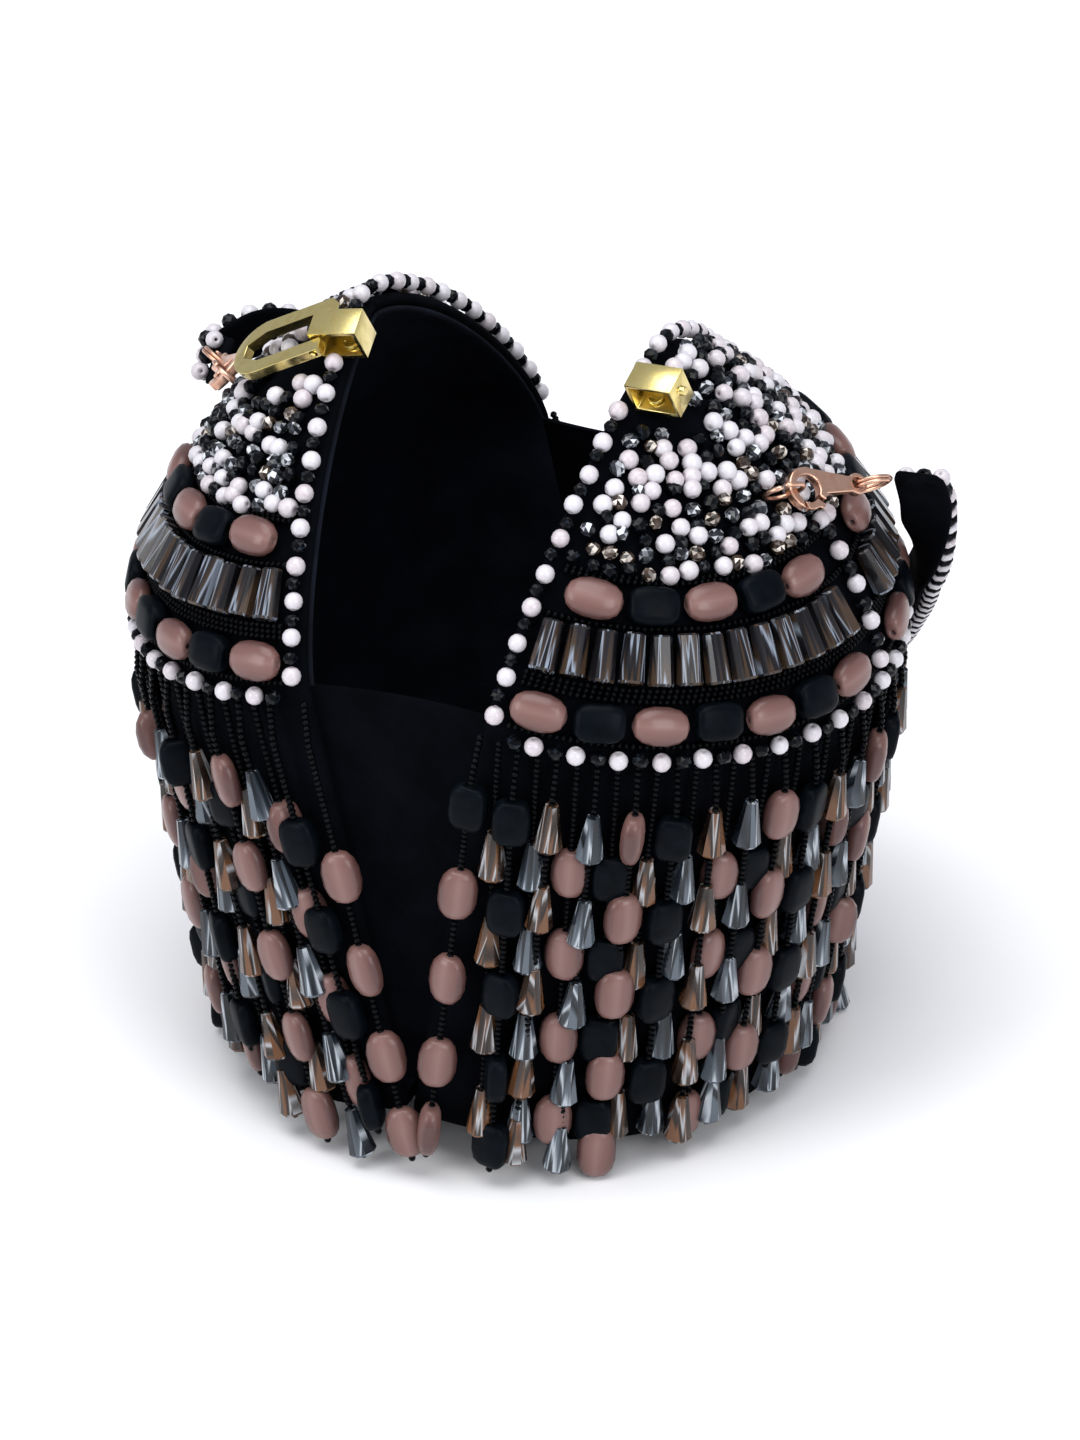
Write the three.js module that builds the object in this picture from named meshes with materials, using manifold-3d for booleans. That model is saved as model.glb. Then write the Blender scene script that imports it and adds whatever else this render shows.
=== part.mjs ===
// A round beaded box clutch that stands open in a V on its bead fringe.
// Millimetres, +Z up, front towards -Y. Each half is worked out as a right half, in a frame with its hinge
// line on the Y axis and the split plane at x = 0, then tilted outwards; the left half is its mirror image.

import * as THREE from 'three';
import { mergeVertices } from 'three/addons/utils/BufferGeometryUtils.js';
import Module from 'manifold-3d';

const wasm = await Module();
wasm.setup();

// Driving dimensions
const HALF_WIDTH = 64.5;
const HALF_DEPTH = 69;
const WALL_HEIGHT = 104;
const DOME_HEIGHT = 61;
const DOME_POWER = 1.41;
const TILT = THREE.MathUtils.degToRad(11.2);
const HINGE_HEIGHT = 14.5;
const SHELL_THICKNESS = 2.6;
const LINING_THICKNESS = 1.2;
const GAP = 0.3;
const SPLIT_GAP = 0.4;
const AROUND = 32;

// Heights of the bands, along the dome from the hem row
const FIELD_FROM = 37;
const FIELD_TO = 93;
const SKIN = 0.5;
const BAND_START = 5;
const BANDS = {
  lower: { centre: 7, count: 7, pitch: 12.8 },
  crystals: { centre: 20.6, count: 13, pitch: 6 },
  upper: { centre: 32.2, count: 5, pitch: 12.5 },
};

// Beads
const ROUND_BEAD = 4;
const STONE_LIFT = 0.7;
// Stations along one stone, in shares of its pitch at its lower and upper edge; half is half its height on
// the dome, table the share of it that the outer face takes, and the lifts are those of that face's edges
const OVAL = [
  { lower: -0.5, upper: -0.5, half: 1, table: 0.6, lowerLift: 1.6, upperLift: 1.6 },
  { lower: -0.39, upper: -0.39, half: 2.6, table: 0.6, lowerLift: 3.9, upperLift: 3.9 },
  { lower: -0.16, upper: -0.16, half: 3.95, table: 0.66, lowerLift: 5, upperLift: 5 },
  { lower: 0.16, upper: 0.16, half: 3.95, table: 0.66, lowerLift: 5, upperLift: 5 },
  { lower: 0.39, upper: 0.39, half: 2.6, table: 0.6, lowerLift: 3.9, upperLift: 3.9 },
  { lower: 0.5, upper: 0.5, half: 1, table: 0.6, lowerLift: 1.6, upperLift: 1.6 },
];
const CRYSTAL = [
  { lower: -0.5, upper: -0.5, half: 5.2, table: 1, lowerLift: 1.6, upperLift: 1.3 },
  { lower: -0.26, upper: -0.18, half: 5.7, table: 0.94, lowerLift: 5.4, upperLift: 4.1 },
  { lower: 0.26, upper: 0.18, half: 5.7, table: 0.94, lowerLift: 5.4, upperLift: 4.1 },
  { lower: 0.5, upper: 0.5, half: 5.2, table: 1, lowerLift: 1.6, upperLift: 1.3 },
];
const STRING_LIFT = 2.7;
const RIM_STRING_X = 2.5;
const HEM_ENDS = THREE.MathUtils.degToRad(4.6);
const SEAM = { from: 4.8, to: 35.5, lift: 2.9 };
const STRING_SIDES = 8;

// Fringe
const FRINGE = { locks: 25, ends: 5, headTop: -3, headFoot: -9, start: -5, lift: 3.6, below: 5 };
const LOCK = { width: 7, depth: 5.2 };
const FLARE = { from: 14, out: 3.5 };

// Clasp, in a frame on the rim: x away from the split, y up the rim, z out of the dome
const CLASP_ARC = 79.5;
// The clasp meets to the right of the split: its left box overhangs the left rim
const CLASP_SHIFT = { left: -4.8, right: 4.4 };
const BOX = { start: 0.6, length: 11.5, width: 7, height: 8.5, wall: 0.9 };
const BOX_LIFT = 0.4;
const RIGHT_BOX_ROLL = THREE.MathUtils.degToRad(-18);
const HASP = { pinX: 10.3, pinZ: 6.2, reach: 26.5, square: 18, half: 7.3, thick: 2.4, back: 1.7 };
const WINDOW = { beside: 0.45, bar: 3.2, chamferX: 5.3, chamferY: 2.2 };
const HASP_REST = THREE.MathUtils.degToRad(22);
const PIN_RADIUS = 0.7;
const PIN_HALF = 7.9;
const SCREW = { radius: 1.7, height: 0.9, x: 5, y: -0.5, slot: 0.5, slotDepth: 0.4 };
const RIVET = { radius: 1.1, height: 0.8, level: 5.1 };
const ROUND_SIDES = 10;
// Room left in the field of beads round the clasp, the hasp and the strap's ring
const ROOM = { clasp: 0.8, hasp: 0.9, haspBehind: 2, haspBelow: 3.4, ring: 1.6, ahead: 1, above: 30 };

// Strap fittings
const RING = { radius: 4.4, wire: 0.6, around: 12, sides: 6 };
const CLAW = { outer: 5, inner: 3.1, thick: 2.4, neck: 12.2, waist: 1.7 };
const CLAW_SHOULDER = { x: 1.5, y: 4.6, rootX: 3.5, rootLow: -1.6, rootHigh: 1.4 };
const CLAW_EYE = { x: 13.6, radius: 2.5, hole: 1.45 };
// Angles round the claw's hook; the two ends that meet at the gate are cut on a slant
const GATE = { to: 310, bodyEnd: 321, inset: 0.15, thick: 1.9 };
const HOOK_END = { inner: 230, outer: 246 };
const LEVER_START = { inner: 240, outer: 256 };
const THUMB = { radius: 0.8, at: 304 };
const CLAW_LIFT = 6.5;
const CLAW_RISE = 14;
const FITTING_SEGMENTS = 6;
const CLAWS = {
  right: { azimuth: 84, arc: 47.5, heading: -27 },
  left: { azimuth: 96, arc: 46, heading: -38 },
};
const STRAP = { width: 13, thick: 5.4, steps: 60, clear: 2.2 };
// Near its right end the strap is turned so that its velvet faces the front, and its end lies flat
const STRAP_SWING = { turn: THREE.MathUtils.degToRad(85), from: 20, to: 50 };
const STRAP_LIFT = { rise: 2, from: 5, to: 17 };
const STRAP_ROUTE = [
  { x: 86.6, y: 19, z: 146.9 },
  { x: 87, y: 24.5, z: 139 },
  { x: 85.5, y: 31, z: 125 },
  { x: 82, y: 40, z: 112 },
  { x: 72, y: 56, z: 93 },
  { x: 56, y: 75, z: 70 },
  { x: 29, y: 90, z: 52 },
  { x: 0, y: 95, z: 46 },
  { x: -29, y: 91, z: 58 },
  { x: -50, y: 82, z: 86 },
  { x: -64, y: 70, z: 114 },
  { x: -74, y: 57, z: 132 },
  { x: -83, y: 45, z: 138 },
  { x: -89, y: 34, z: 136 },
];

// Gusset and hinge strip
const GUSSET = { top: 102, foot: 7, thick: 1.2, inset: 3.1 };
const HINGE_STRIP = { reach: 9, length: 123, thick: 1.2 };

// Colours, roughness and metalness of each finish
const FINISH = {
  velvet: { color: '#07080c', roughness: 0.95, metalness: 0 },
  roundBead: { color: '#e9e2e2', roughness: 0.35, metalness: 0 },
  ovalBead: { color: '#b98478', roughness: 0.3, metalness: 0 },
  crystal: { color: '#8d8078', roughness: 0.08, metalness: 0 },
  gold: { color: '#d3bf62', roughness: 0.18, metalness: 1 },
  roseGold: { color: '#c8977c', roughness: 0.2, metalness: 1 },
};

// Solids: closed meshes that can be joined and cut
const WELD = 1e-4;

function signedVolume(geometry) {
  const corner = geometry.getAttribute('position');
  const index = geometry.getIndex().array;
  const [a, b, c] = [new THREE.Vector3(), new THREE.Vector3(), new THREE.Vector3()];
  let total = 0;
  for (let i = 0; i < index.length; i += 3) {
    a.fromBufferAttribute(corner, index[i]);
    b.fromBufferAttribute(corner, index[i + 1]);
    c.fromBufferAttribute(corner, index[i + 2]);
    total += a.dot(b.cross(c));
  }
  return total / 6;
}

function closedMesh(source) {
  const bare = source.clone();
  bare.deleteAttribute('normal');
  bare.deleteAttribute('uv');
  const merged = mergeVertices(bare, WELD);
  const index = merged.getIndex().array;
  const kept = [];
  for (let i = 0; i < index.length; i += 3) {
    const [a, b, c] = [index[i], index[i + 1], index[i + 2]];
    if (a !== b && b !== c && c !== a) kept.push(a, b, c);
  }
  merged.setIndex(kept);
  if (signedVolume(merged) < 0) merged.setIndex(kept.reverse());
  return merged;
}

function toSolid(source) {
  const mesh = closedMesh(source);
  return new wasm.Manifold(new wasm.Mesh({
    numProp: 3,
    vertProperties: new Float32Array(mesh.getAttribute('position').array),
    triVerts: new Uint32Array(mesh.getIndex().array),
  }));
}

function toGeometry(solid) {
  const mesh = solid.getMesh();
  const geometry = new THREE.BufferGeometry();
  geometry.setAttribute('position', new THREE.BufferAttribute(new Float32Array(mesh.vertProperties), 3));
  geometry.setIndex(new THREE.BufferAttribute(new Uint32Array(mesh.triVerts), 1));
  return geometry;
}

const fuse = (solids) => solids.reduce((whole, next) => whole.add(next));

function box(from, to) {
  const size = new THREE.Vector3().subVectors(to, from);
  const middle = new THREE.Vector3().addVectors(from, to).multiplyScalar(0.5);
  return new THREE.BoxGeometry(size.x, size.y, size.z).translate(middle.x, middle.y, middle.z);
}

const vec = (x, y, z) => new THREE.Vector3(x, y, z);
const degrees = (value) => THREE.MathUtils.degToRad(value);

// The dome's meridian, by length along it from the hem row; negative lengths run down the wall
const MERIDIAN_STEPS = 400;

function meridianTable() {
  const rows = [{ length: 0, share: 1, rise: 0 }];
  const exponent = 2 / DOME_POWER;
  const meanRadius = (HALF_WIDTH + HALF_DEPTH) / 2;
  for (let i = 1; i <= MERIDIAN_STEPS; i += 1) {
    const angle = (i / MERIDIAN_STEPS) * (Math.PI / 2);
    const share = i === MERIDIAN_STEPS ? 0 : Math.cos(angle) ** exponent;
    const rise = Math.sin(angle) ** exponent * DOME_HEIGHT;
    const last = rows[rows.length - 1];
    const step = Math.hypot((share - last.share) * meanRadius, rise - last.rise);
    rows.push({ length: last.length + step, share, rise });
  }
  return rows;
}

const MERIDIAN = meridianTable();
const APEX_ARC = MERIDIAN[MERIDIAN.length - 1].length;

function meridianAt(arc) {
  if (arc <= 0) return { share: 1, height: WALL_HEIGHT + arc };
  const upper = Math.max(1, MERIDIAN.findIndex((row) => row.length >= Math.min(arc, APEX_ARC)));
  const [a, b] = [MERIDIAN[upper - 1], MERIDIAN[upper]];
  const part = (Math.min(arc, APEX_ARC) - a.length) / (b.length - a.length);
  return {
    share: THREE.MathUtils.lerp(a.share, b.share, part),
    height: WALL_HEIGHT + THREE.MathUtils.lerp(a.rise, b.rise, part),
  };
}

// Outward direction of the shell's surface
function surfaceNormal(azimuth, arc) {
  const { share, height } = meridianAt(arc);
  const flat = vec(Math.sin(azimuth) / HALF_WIDTH, -Math.cos(azimuth) / HALF_DEPTH, 0);
  if (arc <= 0) return flat.normalize();
  const risen = (height - WALL_HEIGHT) / DOME_HEIGHT;
  flat.multiplyScalar(share ** (DOME_POWER - 1));
  flat.z = risen ** (DOME_POWER - 1) / DOME_HEIGHT;
  return flat.normalize();
}

function surfacePoint(azimuth, arc, lift) {
  const { share, height } = meridianAt(arc);
  const point = vec(share * HALF_WIDTH * Math.sin(azimuth), -share * HALF_DEPTH * Math.cos(azimuth), height);
  return point.addScaledVector(surfaceNormal(azimuth, arc), lift);
}

// Frame on the surface: x along the row, y up the dome, z outwards
function surfaceFrame(azimuth, arc, lift) {
  const out = surfaceNormal(azimuth, arc);
  const along = vec(HALF_WIDTH * Math.cos(azimuth), HALF_DEPTH * Math.sin(azimuth), 0).normalize();
  const up = vec(0, 0, 0).crossVectors(out, along).normalize();
  along.crossVectors(up, out);
  return new THREE.Matrix4().makeBasis(along, up, out).setPosition(surfacePoint(azimuth, arc, lift));
}

// A flat plate of a given outline, centred on its own thickness
function slab(outline, thick, curveSegments) {
  const plate = new THREE.ExtrudeGeometry(outline, { depth: thick, bevelEnabled: false, curveSegments });
  return toSolid(plate.translate(0, 0, -thick / 2));
}

// Bodies turned about the bag's axis, stretched to its oval plan
function turned(profile, flats = AROUND) {
  const geometry = new THREE.LatheGeometry(profile, flats, Math.PI / 2);
  return toSolid(geometry.rotateX(Math.PI / 2).scale(1, HALF_DEPTH / HALF_WIDTH, 1));
}

function profilePoint(arc, lift) {
  const point = surfacePoint(Math.PI / 2, arc, lift);
  return new THREE.Vector2(Math.max(point.x, 0), point.z);
}

const DOME_ARCS = [0, 9, 20, 34, 50, 68, 83];

function domeBody(lift, foot, flats = AROUND) {
  const profile = [new THREE.Vector2(0, foot), new THREE.Vector2(HALF_WIDTH + lift, foot)];
  DOME_ARCS.forEach((arc) => profile.push(profilePoint(arc, lift)));
  profile.push(new THREE.Vector2(0, WALL_HEIGHT + DOME_HEIGHT + lift));
  return turned(profile, flats);
}

function layer(from, to, bottom, top) {
  const arcs = [from, ...DOME_ARCS.filter((arc) => arc > from && arc < to), to];
  const outer = arcs.map((arc) => profilePoint(arc, top));
  const inner = arcs.map((arc) => profilePoint(arc, bottom)).reverse();
  return turned([...outer, ...inner, outer[0]]);
}

const FAR = 200;

function rightOf(solid, x) {
  return solid.intersect(toSolid(box(vec(x, -FAR, -FAR), vec(FAR, FAR, FAR))));
}

function shell() {
  const hollow = domeBody(-SHELL_THICKNESS, SHELL_THICKNESS);
  return rightOf(domeBody(0, 0).subtract(hollow), SPLIT_GAP);
}

function lining() {
  const outer = SHELL_THICKNESS + GAP;
  const inner = outer + LINING_THICKNESS;
  const skin = domeBody(-outer, outer, AROUND / 2).subtract(domeBody(-inner, inner, AROUND / 2));
  return rightOf(skin, SPLIT_GAP);
}

// A closed body through rings of equal point count
function sweep(rings) {
  const sides = rings[0].length;
  const position = rings.flat().flatMap((point) => [point.x, point.y, point.z]);
  const index = [];
  for (let level = 0; level + 1 < rings.length; level += 1) {
    for (let i = 0; i < sides; i += 1) {
      const a = level * sides + i;
      const b = level * sides + ((i + 1) % sides);
      index.push(a, b, b + sides, a, b + sides, a + sides);
    }
  }
  const last = (rings.length - 1) * sides;
  for (let i = 1; i + 1 < sides; i += 1) {
    index.push(0, i + 1, i, last, last + i, last + i + 1);
  }
  const geometry = new THREE.BufferGeometry();
  geometry.setAttribute('position', new THREE.Float32BufferAttribute(position, 3));
  geometry.setIndex(index);
  return geometry;
}

// Rows of stones, one to a gore, each stone joined to the next on its thread
const GORES = { front: Math.PI / 4, back: (3 * Math.PI) / 4 };

function rowAzimuth(band, gore, distance) {
  const middle = GORES[gore];
  const { share } = meridianAt(band.centre);
  const radius = (azimuth) => (
    share * Math.hypot(HALF_WIDTH * Math.cos(azimuth), HALF_DEPTH * Math.sin(azimuth))
  );
  const guess = distance / radius(middle);
  return middle + distance / radius(middle + guess / 2);
}

function stoneSection(band, gore, centre, { lower, upper, half, table, lowerLift, upperLift }) {
  const corner = (along, arc, lift) => (
    surfacePoint(rowAzimuth(band, gore, centre + along * band.pitch), band.centre + arc, lift)
  );
  return [
    corner(lower, -half, STONE_LIFT),
    corner(lower, -half * table, lowerLift),
    corner(upper, half * table, upperLift),
    corner(upper, half, STONE_LIFT),
  ];
}

function stoneRow(band, stations, gore) {
  const rings = [];
  for (let i = 0; i < band.count; i += 1) {
    const centre = (i - (band.count - 1) / 2) * band.pitch;
    const used = i === 0 ? stations : stations.slice(1);
    used.forEach((station) => rings.push(stoneSection(band, gore, centre, station)));
  }
  return sweep(rings);
}

// Strings of round beads, as tubes of their outer form
function tube(points, radius) {
  const section = new THREE.Shape();
  for (let i = 0; i < STRING_SIDES; i += 1) {
    const angle = ((i + 0.5) / STRING_SIDES) * Math.PI * 2;
    const place = [radius * Math.cos(angle), radius * Math.sin(angle)];
    if (i === 0) section.moveTo(...place);
    else section.lineTo(...place);
  }
  const path = new THREE.CatmullRomCurve3(points);
  return toSolid(new THREE.ExtrudeGeometry(section, { steps: points.length - 1, extrudePath: path }));
}

function spread(from, to, spacing) {
  const count = Math.max(2, Math.round(Math.abs(to - from) / spacing));
  return Array.from({ length: count + 1 }, (_, i) => from + ((to - from) * i) / count);
}

const STRING_STEP = 12;
const RIM_FOOT = -1.5;
const CLASP_CLEAR = BOX.width / 2 + ROUND_BEAD / 2;

function rimPoint(arc) {
  const azimuth = arc <= APEX_ARC ? 0 : Math.PI;
  const along = arc <= APEX_ARC ? arc : 2 * APEX_ARC - arc;
  return surfacePoint(azimuth, along, STRING_LIFT).add(vec(RIM_STRING_X, 0, 0));
}

function rimBeadsFront() {
  const arcs = spread(RIM_FOOT, CLASP_ARC - CLASP_CLEAR, STRING_STEP);
  return tube(arcs.map(rimPoint), ROUND_BEAD / 2);
}

function rimBeadsBack() {
  const arcs = spread(CLASP_ARC + CLASP_CLEAR, 2 * APEX_ARC - RIM_FOOT, STRING_STEP);
  return tube(arcs.map(rimPoint), ROUND_BEAD / 2);
}

function hemBeads() {
  const places = spread(HEM_ENDS, Math.PI - HEM_ENDS, STRING_STEP / HALF_WIDTH);
  return tube(places.map((azimuth) => surfacePoint(azimuth, 0, STRING_LIFT)), ROUND_BEAD / 2);
}

function seamBeads() {
  const arcs = spread(SEAM.from, SEAM.to, STRING_STEP);
  return tube(arcs.map((arc) => surfacePoint(Math.PI / 2, arc, SEAM.lift)), ROUND_BEAD / 2);
}

// Fringe: bead strands as locks that hang down the wall from a head and are cut off by the table
function lockSection() {
  const corners = [[-1, 0], [-0.5, -1], [0.5, -1], [1, 0], [0.5, 1], [-0.5, 1]];
  return corners.map(([along, out]) => vec((along * LOCK.width) / 2, 0, (out * LOCK.depth) / 2));
}

function floorHeight(x) {
  return (x * Math.sin(TILT) - HINGE_HEIGHT) / Math.cos(TILT);
}

function lock(azimuth) {
  const outer = (HALF_WIDTH + FRINGE.lift + LOCK.depth / 2) * Math.sin(azimuth);
  const onFloor = THREE.MathUtils.clamp((floorHeight(outer) + FRINGE.below) / FRINGE.below, 0, 1);
  const levels = [
    { arc: FRINGE.start, out: 0 },
    { arc: FLARE.from - WALL_HEIGHT, out: 0 },
    { arc: -FRINGE.below - WALL_HEIGHT, out: FLARE.out * onFloor },
  ];
  return toSolid(sweep(levels.map(({ arc, out }) => {
    const frame = surfaceFrame(azimuth, arc, FRINGE.lift + out);
    return lockSection().map((point) => point.applyMatrix4(frame));
  })));
}

function fringe() {
  const ends = FRINGE.ends / HALF_WIDTH;
  const pitch = (Math.PI - 2 * ends) / FRINGE.locks;
  const head = rightOf(layer(FRINGE.headFoot, FRINGE.headTop, SKIN, FRINGE.lift), BAND_START);
  const locks = [];
  for (let i = 0; i < FRINGE.locks; i += 1) locks.push(lock(ends + pitch * (i + 0.5)));
  const aboveFloor = box(vec(-FAR, -FAR, 0), vec(FAR, FAR, FAR));
  aboveFloor.translate(0, 0, -HINGE_HEIGHT).rotateY(-TILT);
  return fuse([head, ...locks]).intersect(toSolid(aboveFloor));
}

// Clasp
function claspFrame(side) {
  const out = surfaceNormal(0, CLASP_ARC);
  const along = vec(1, 0, 0);
  const up = vec(0, 0, 0).crossVectors(out, along);
  const place = surfacePoint(0, CLASP_ARC, BOX_LIFT).addScaledVector(along, CLASP_SHIFT[side]);
  return new THREE.Matrix4().makeBasis(along, up, out).setPosition(place);
}

function rightBoxFrame() {
  const roll = new THREE.Matrix4().makeTranslation(BOX.start, 0, 0);
  roll.multiply(new THREE.Matrix4().makeRotationY(RIGHT_BOX_ROLL));
  roll.multiply(new THREE.Matrix4().makeTranslation(-BOX.start, 0, 0));
  return claspFrame('right').multiply(roll);
}

function pinAlong(radius, half) {
  return new THREE.CylinderGeometry(radius, radius, half * 2, ROUND_SIDES).translate(HASP.pinX, 0, HASP.pinZ);
}

// Gold box, open towards the front, with its screw inside
function claspBox(hasPin) {
  const { start, length, width, height, wall } = BOX;
  const half = width / 2;
  const outside = toSolid(box(vec(start, -half, 0), vec(start + length, half, height)));
  const inside = box(vec(start + wall, -width, wall), vec(start + length - wall, half - wall, height - wall));
  let body = outside.subtract(toSolid(inside));
  if (hasPin) return body.subtract(toSolid(pinAlong(PIN_RADIUS + GAP, width)));
  for (const x of [start - RIVET.height, start + length]) {
    const rivet = new THREE.CylinderGeometry(RIVET.radius, RIVET.radius, RIVET.height + wall, ROUND_SIDES);
    rivet.rotateZ(Math.PI / 2).translate(x + RIVET.height / 2, 0, RIVET.level);
    body = body.add(toSolid(rivet));
  }
  return body;
}

function claspScrew() {
  const { radius, height, x, y, slot, slotDepth } = SCREW;
  const foot = BOX.wall + GAP;
  const head = new THREE.CylinderGeometry(radius, radius, height, ROUND_SIDES).rotateX(Math.PI / 2);
  head.translate(x, y, foot + height / 2);
  const from = vec(x - 2 * radius, y - slot / 2, foot + height - slotDepth);
  const to = vec(x + 2 * radius, y + slot / 2, BOX.height);
  return toSolid(head).subtract(toSolid(box(from, to)));
}

// Frame that the hasp lies in at rest: x along the hasp from its pin, z out of its upper face
function haspFrame() {
  const turn = new THREE.Matrix4().makeTranslation(HASP.pinX, 0, HASP.pinZ);
  return claspFrame('left').multiply(turn).multiply(new THREE.Matrix4().makeRotationY(HASP_REST));
}

// Two arms beside the box, joined by a round end bar
function hasp() {
  const { reach, square, half, thick, back } = HASP;
  const inner = BOX.width / 2 + WINDOW.beside;
  const end = reach - WINDOW.bar;
  const outline = new THREE.Shape();
  outline.moveTo(-back, -half);
  outline.lineTo(square, -half);
  outline.absellipse(square, 0, reach - square, half, -Math.PI / 2, Math.PI / 2);
  outline.lineTo(-back, half);
  outline.lineTo(-back, inner);
  outline.lineTo(end - WINDOW.chamferX, inner);
  outline.lineTo(end, inner - WINDOW.chamferY);
  outline.lineTo(end, WINDOW.chamferY - inner);
  outline.lineTo(end - WINDOW.chamferX, -inner);
  outline.lineTo(-back, -inner);
  const bore = new THREE.CylinderGeometry(PIN_RADIUS + GAP, PIN_RADIUS + GAP, 4 * half, ROUND_SIDES);
  return slab(outline, thick, ROUND_SIDES).subtract(toSolid(bore));
}

// Field of round beads over the upper dome, with room for the clasp, the hasp and the strap's ring
function domeBeads(pockets) {
  const field = rightOf(layer(FIELD_FROM, FIELD_TO, SKIN, ROUND_BEAD), BAND_START);
  return pockets.reduce((left, pocket) => left.subtract(toSolid(pocket)), field);
}

function claspPocket(side) {
  const beside = BOX.width / 2 + ROOM.clasp;
  const end = BOX.start + BOX.length + ROOM.clasp;
  return box(vec(0, -beside, -BOX.height), vec(end, beside, ROOM.above)).applyMatrix4(claspFrame(side));
}

function haspPocket() {
  const side = HASP.half + ROOM.hasp;
  const from = vec(-ROOM.haspBehind, -side, -ROOM.haspBelow);
  const to = vec(HASP.reach + ROOM.ahead, side, ROOM.above);
  return box(from, to).applyMatrix4(haspFrame());
}

// Strap fittings: a jump ring on the shell, a lobster claw through it and a split ring at the claw's tail
function clawFrame({ azimuth, arc, heading }) {
  const frame = surfaceFrame(degrees(azimuth), arc, CLAW_LIFT);
  return frame.multiply(new THREE.Matrix4().makeRotationZ(degrees(heading)))
    .multiply(new THREE.Matrix4().makeRotationY(-degrees(CLAW_RISE)));
}

const squareCut = (angle) => ({ inner: angle, outer: angle });

function ringSector(inner, outer, from, to) {
  const sector = new THREE.Shape();
  sector.absarc(0, 0, outer, degrees(from.outer), degrees(to.outer), false);
  sector.absarc(0, 0, inner, degrees(to.inner), degrees(from.inner), true);
  return sector;
}

function clawBody() {
  const { outer, inner, thick, neck, waist } = CLAW;
  const root = squareCut(GATE.bodyEnd - 360);
  const hook = slab(ringSector(inner, outer, root, HOOK_END), thick, FITTING_SEGMENTS);
  const body = new THREE.Shape();
  body.moveTo(CLAW_SHOULDER.rootX, CLAW_SHOULDER.rootLow);
  body.lineTo(neck, -waist);
  body.lineTo(neck, waist);
  body.lineTo(CLAW_SHOULDER.x, CLAW_SHOULDER.y);
  body.lineTo(CLAW_SHOULDER.rootX, CLAW_SHOULDER.rootHigh);
  const tail = new THREE.Shape().absarc(CLAW_EYE.x, 0, CLAW_EYE.radius, 0, Math.PI * 2, false);
  tail.holes.push(new THREE.Path().absarc(CLAW_EYE.x, 0, CLAW_EYE.hole, 0, Math.PI * 2, true));
  return fuse([hook, slab(body, thick, FITTING_SEGMENTS), slab(tail, thick, FITTING_SEGMENTS)]);
}

// The lever closes the hook and turns inwards about its end next to the body
function clawLever() {
  const [inner, outer] = [CLAW.inner + GATE.inset, CLAW.outer - GATE.inset];
  const arm = ringSector(inner, outer, LEVER_START, squareCut(GATE.to));
  const thumb = new THREE.CylinderGeometry(THUMB.radius, THUMB.radius, GATE.thick, ROUND_SIDES);
  const angle = degrees(THUMB.at);
  thumb.rotateX(Math.PI / 2).translate(CLAW.outer * Math.cos(angle), CLAW.outer * Math.sin(angle), 0);
  return slab(arm, GATE.thick, FITTING_SEGMENTS).add(toSolid(thumb));
}

function ring() {
  return new THREE.TorusGeometry(RING.radius, RING.wire, RING.sides, RING.around);
}

const RING_INSIDE = CLAW.inner - RING.wire - 3 * GAP;
const SHELL_RING_X = -(RING_INSIDE + RING.radius);

function shellRing() {
  return ring().rotateX(Math.PI / 2).translate(SHELL_RING_X, 0, 0);
}

function splitRing() {
  return ring().rotateX(Math.PI / 2).translate(CLAW_EYE.x + RING.radius, 0, 0);
}

function ringPocket(place) {
  const reach = RING.radius + ROOM.ahead;
  const from = vec(SHELL_RING_X - reach, -ROOM.ring, -CLAW_LIFT);
  const to = vec(SHELL_RING_X + reach, ROOM.ring, RING.wire);
  return box(from, to).applyMatrix4(clawFrame(place));
}

// Wrist strap: a band whose outer face looks away from the bag's axis
function strapEnd(side) {
  const sign = side === 'left' ? -1 : 1;
  const reach = CLAW_EYE.x + 2 * RING.radius + RING.wire + STRAP.clear;
  const end = vec(reach, 0, 0).applyMatrix4(clawFrame(CLAWS[side]));
  end.x *= sign;
  return end.applyAxisAngle(vec(0, 1, 0), sign * TILT).add(vec(0, 0, HINGE_HEIGHT));
}

function strapRoute() {
  const between = STRAP_ROUTE.map(({ x, y, z }) => vec(x, y, z));
  return new THREE.CatmullRomCurve3([strapEnd('right'), ...between, strapEnd('left')]);
}

// Direction that the strap's beaded face is turned to, at a distance from its right end
function strapFacing(centre, distance) {
  const share = ({ from, to }) => THREE.MathUtils.clamp((to - distance) / (to - from), 0, 1);
  const away = vec(centre.x, centre.y, 0).normalize();
  away.applyAxisAngle(vec(0, 0, 1), STRAP_SWING.turn * share(STRAP_SWING));
  away.z = STRAP_LIFT.rise * share(STRAP_LIFT);
  return away;
}

function wristStrap() {
  const route = strapRoute();
  const length = route.getLength();
  const rings = [];
  for (let i = 0; i <= STRAP.steps; i += 1) {
    const centre = route.getPointAt(i / STRAP.steps);
    const along = route.getTangentAt(i / STRAP.steps);
    const side = vec(0, 0, 0).crossVectors(along, strapFacing(centre, (i / STRAP.steps) * length)).normalize();
    const out = vec(0, 0, 0).crossVectors(side, along);
    const corners = [[-1, -1], [1, -1], [1, 1], [-1, 1]];
    rings.push(corners.map(([s, o]) => centre.clone()
      .addScaledVector(side, (s * STRAP.width) / 2).addScaledVector(out, (o * STRAP.thick) / 2)));
  }
  return toSolid(sweep(rings));
}

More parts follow.
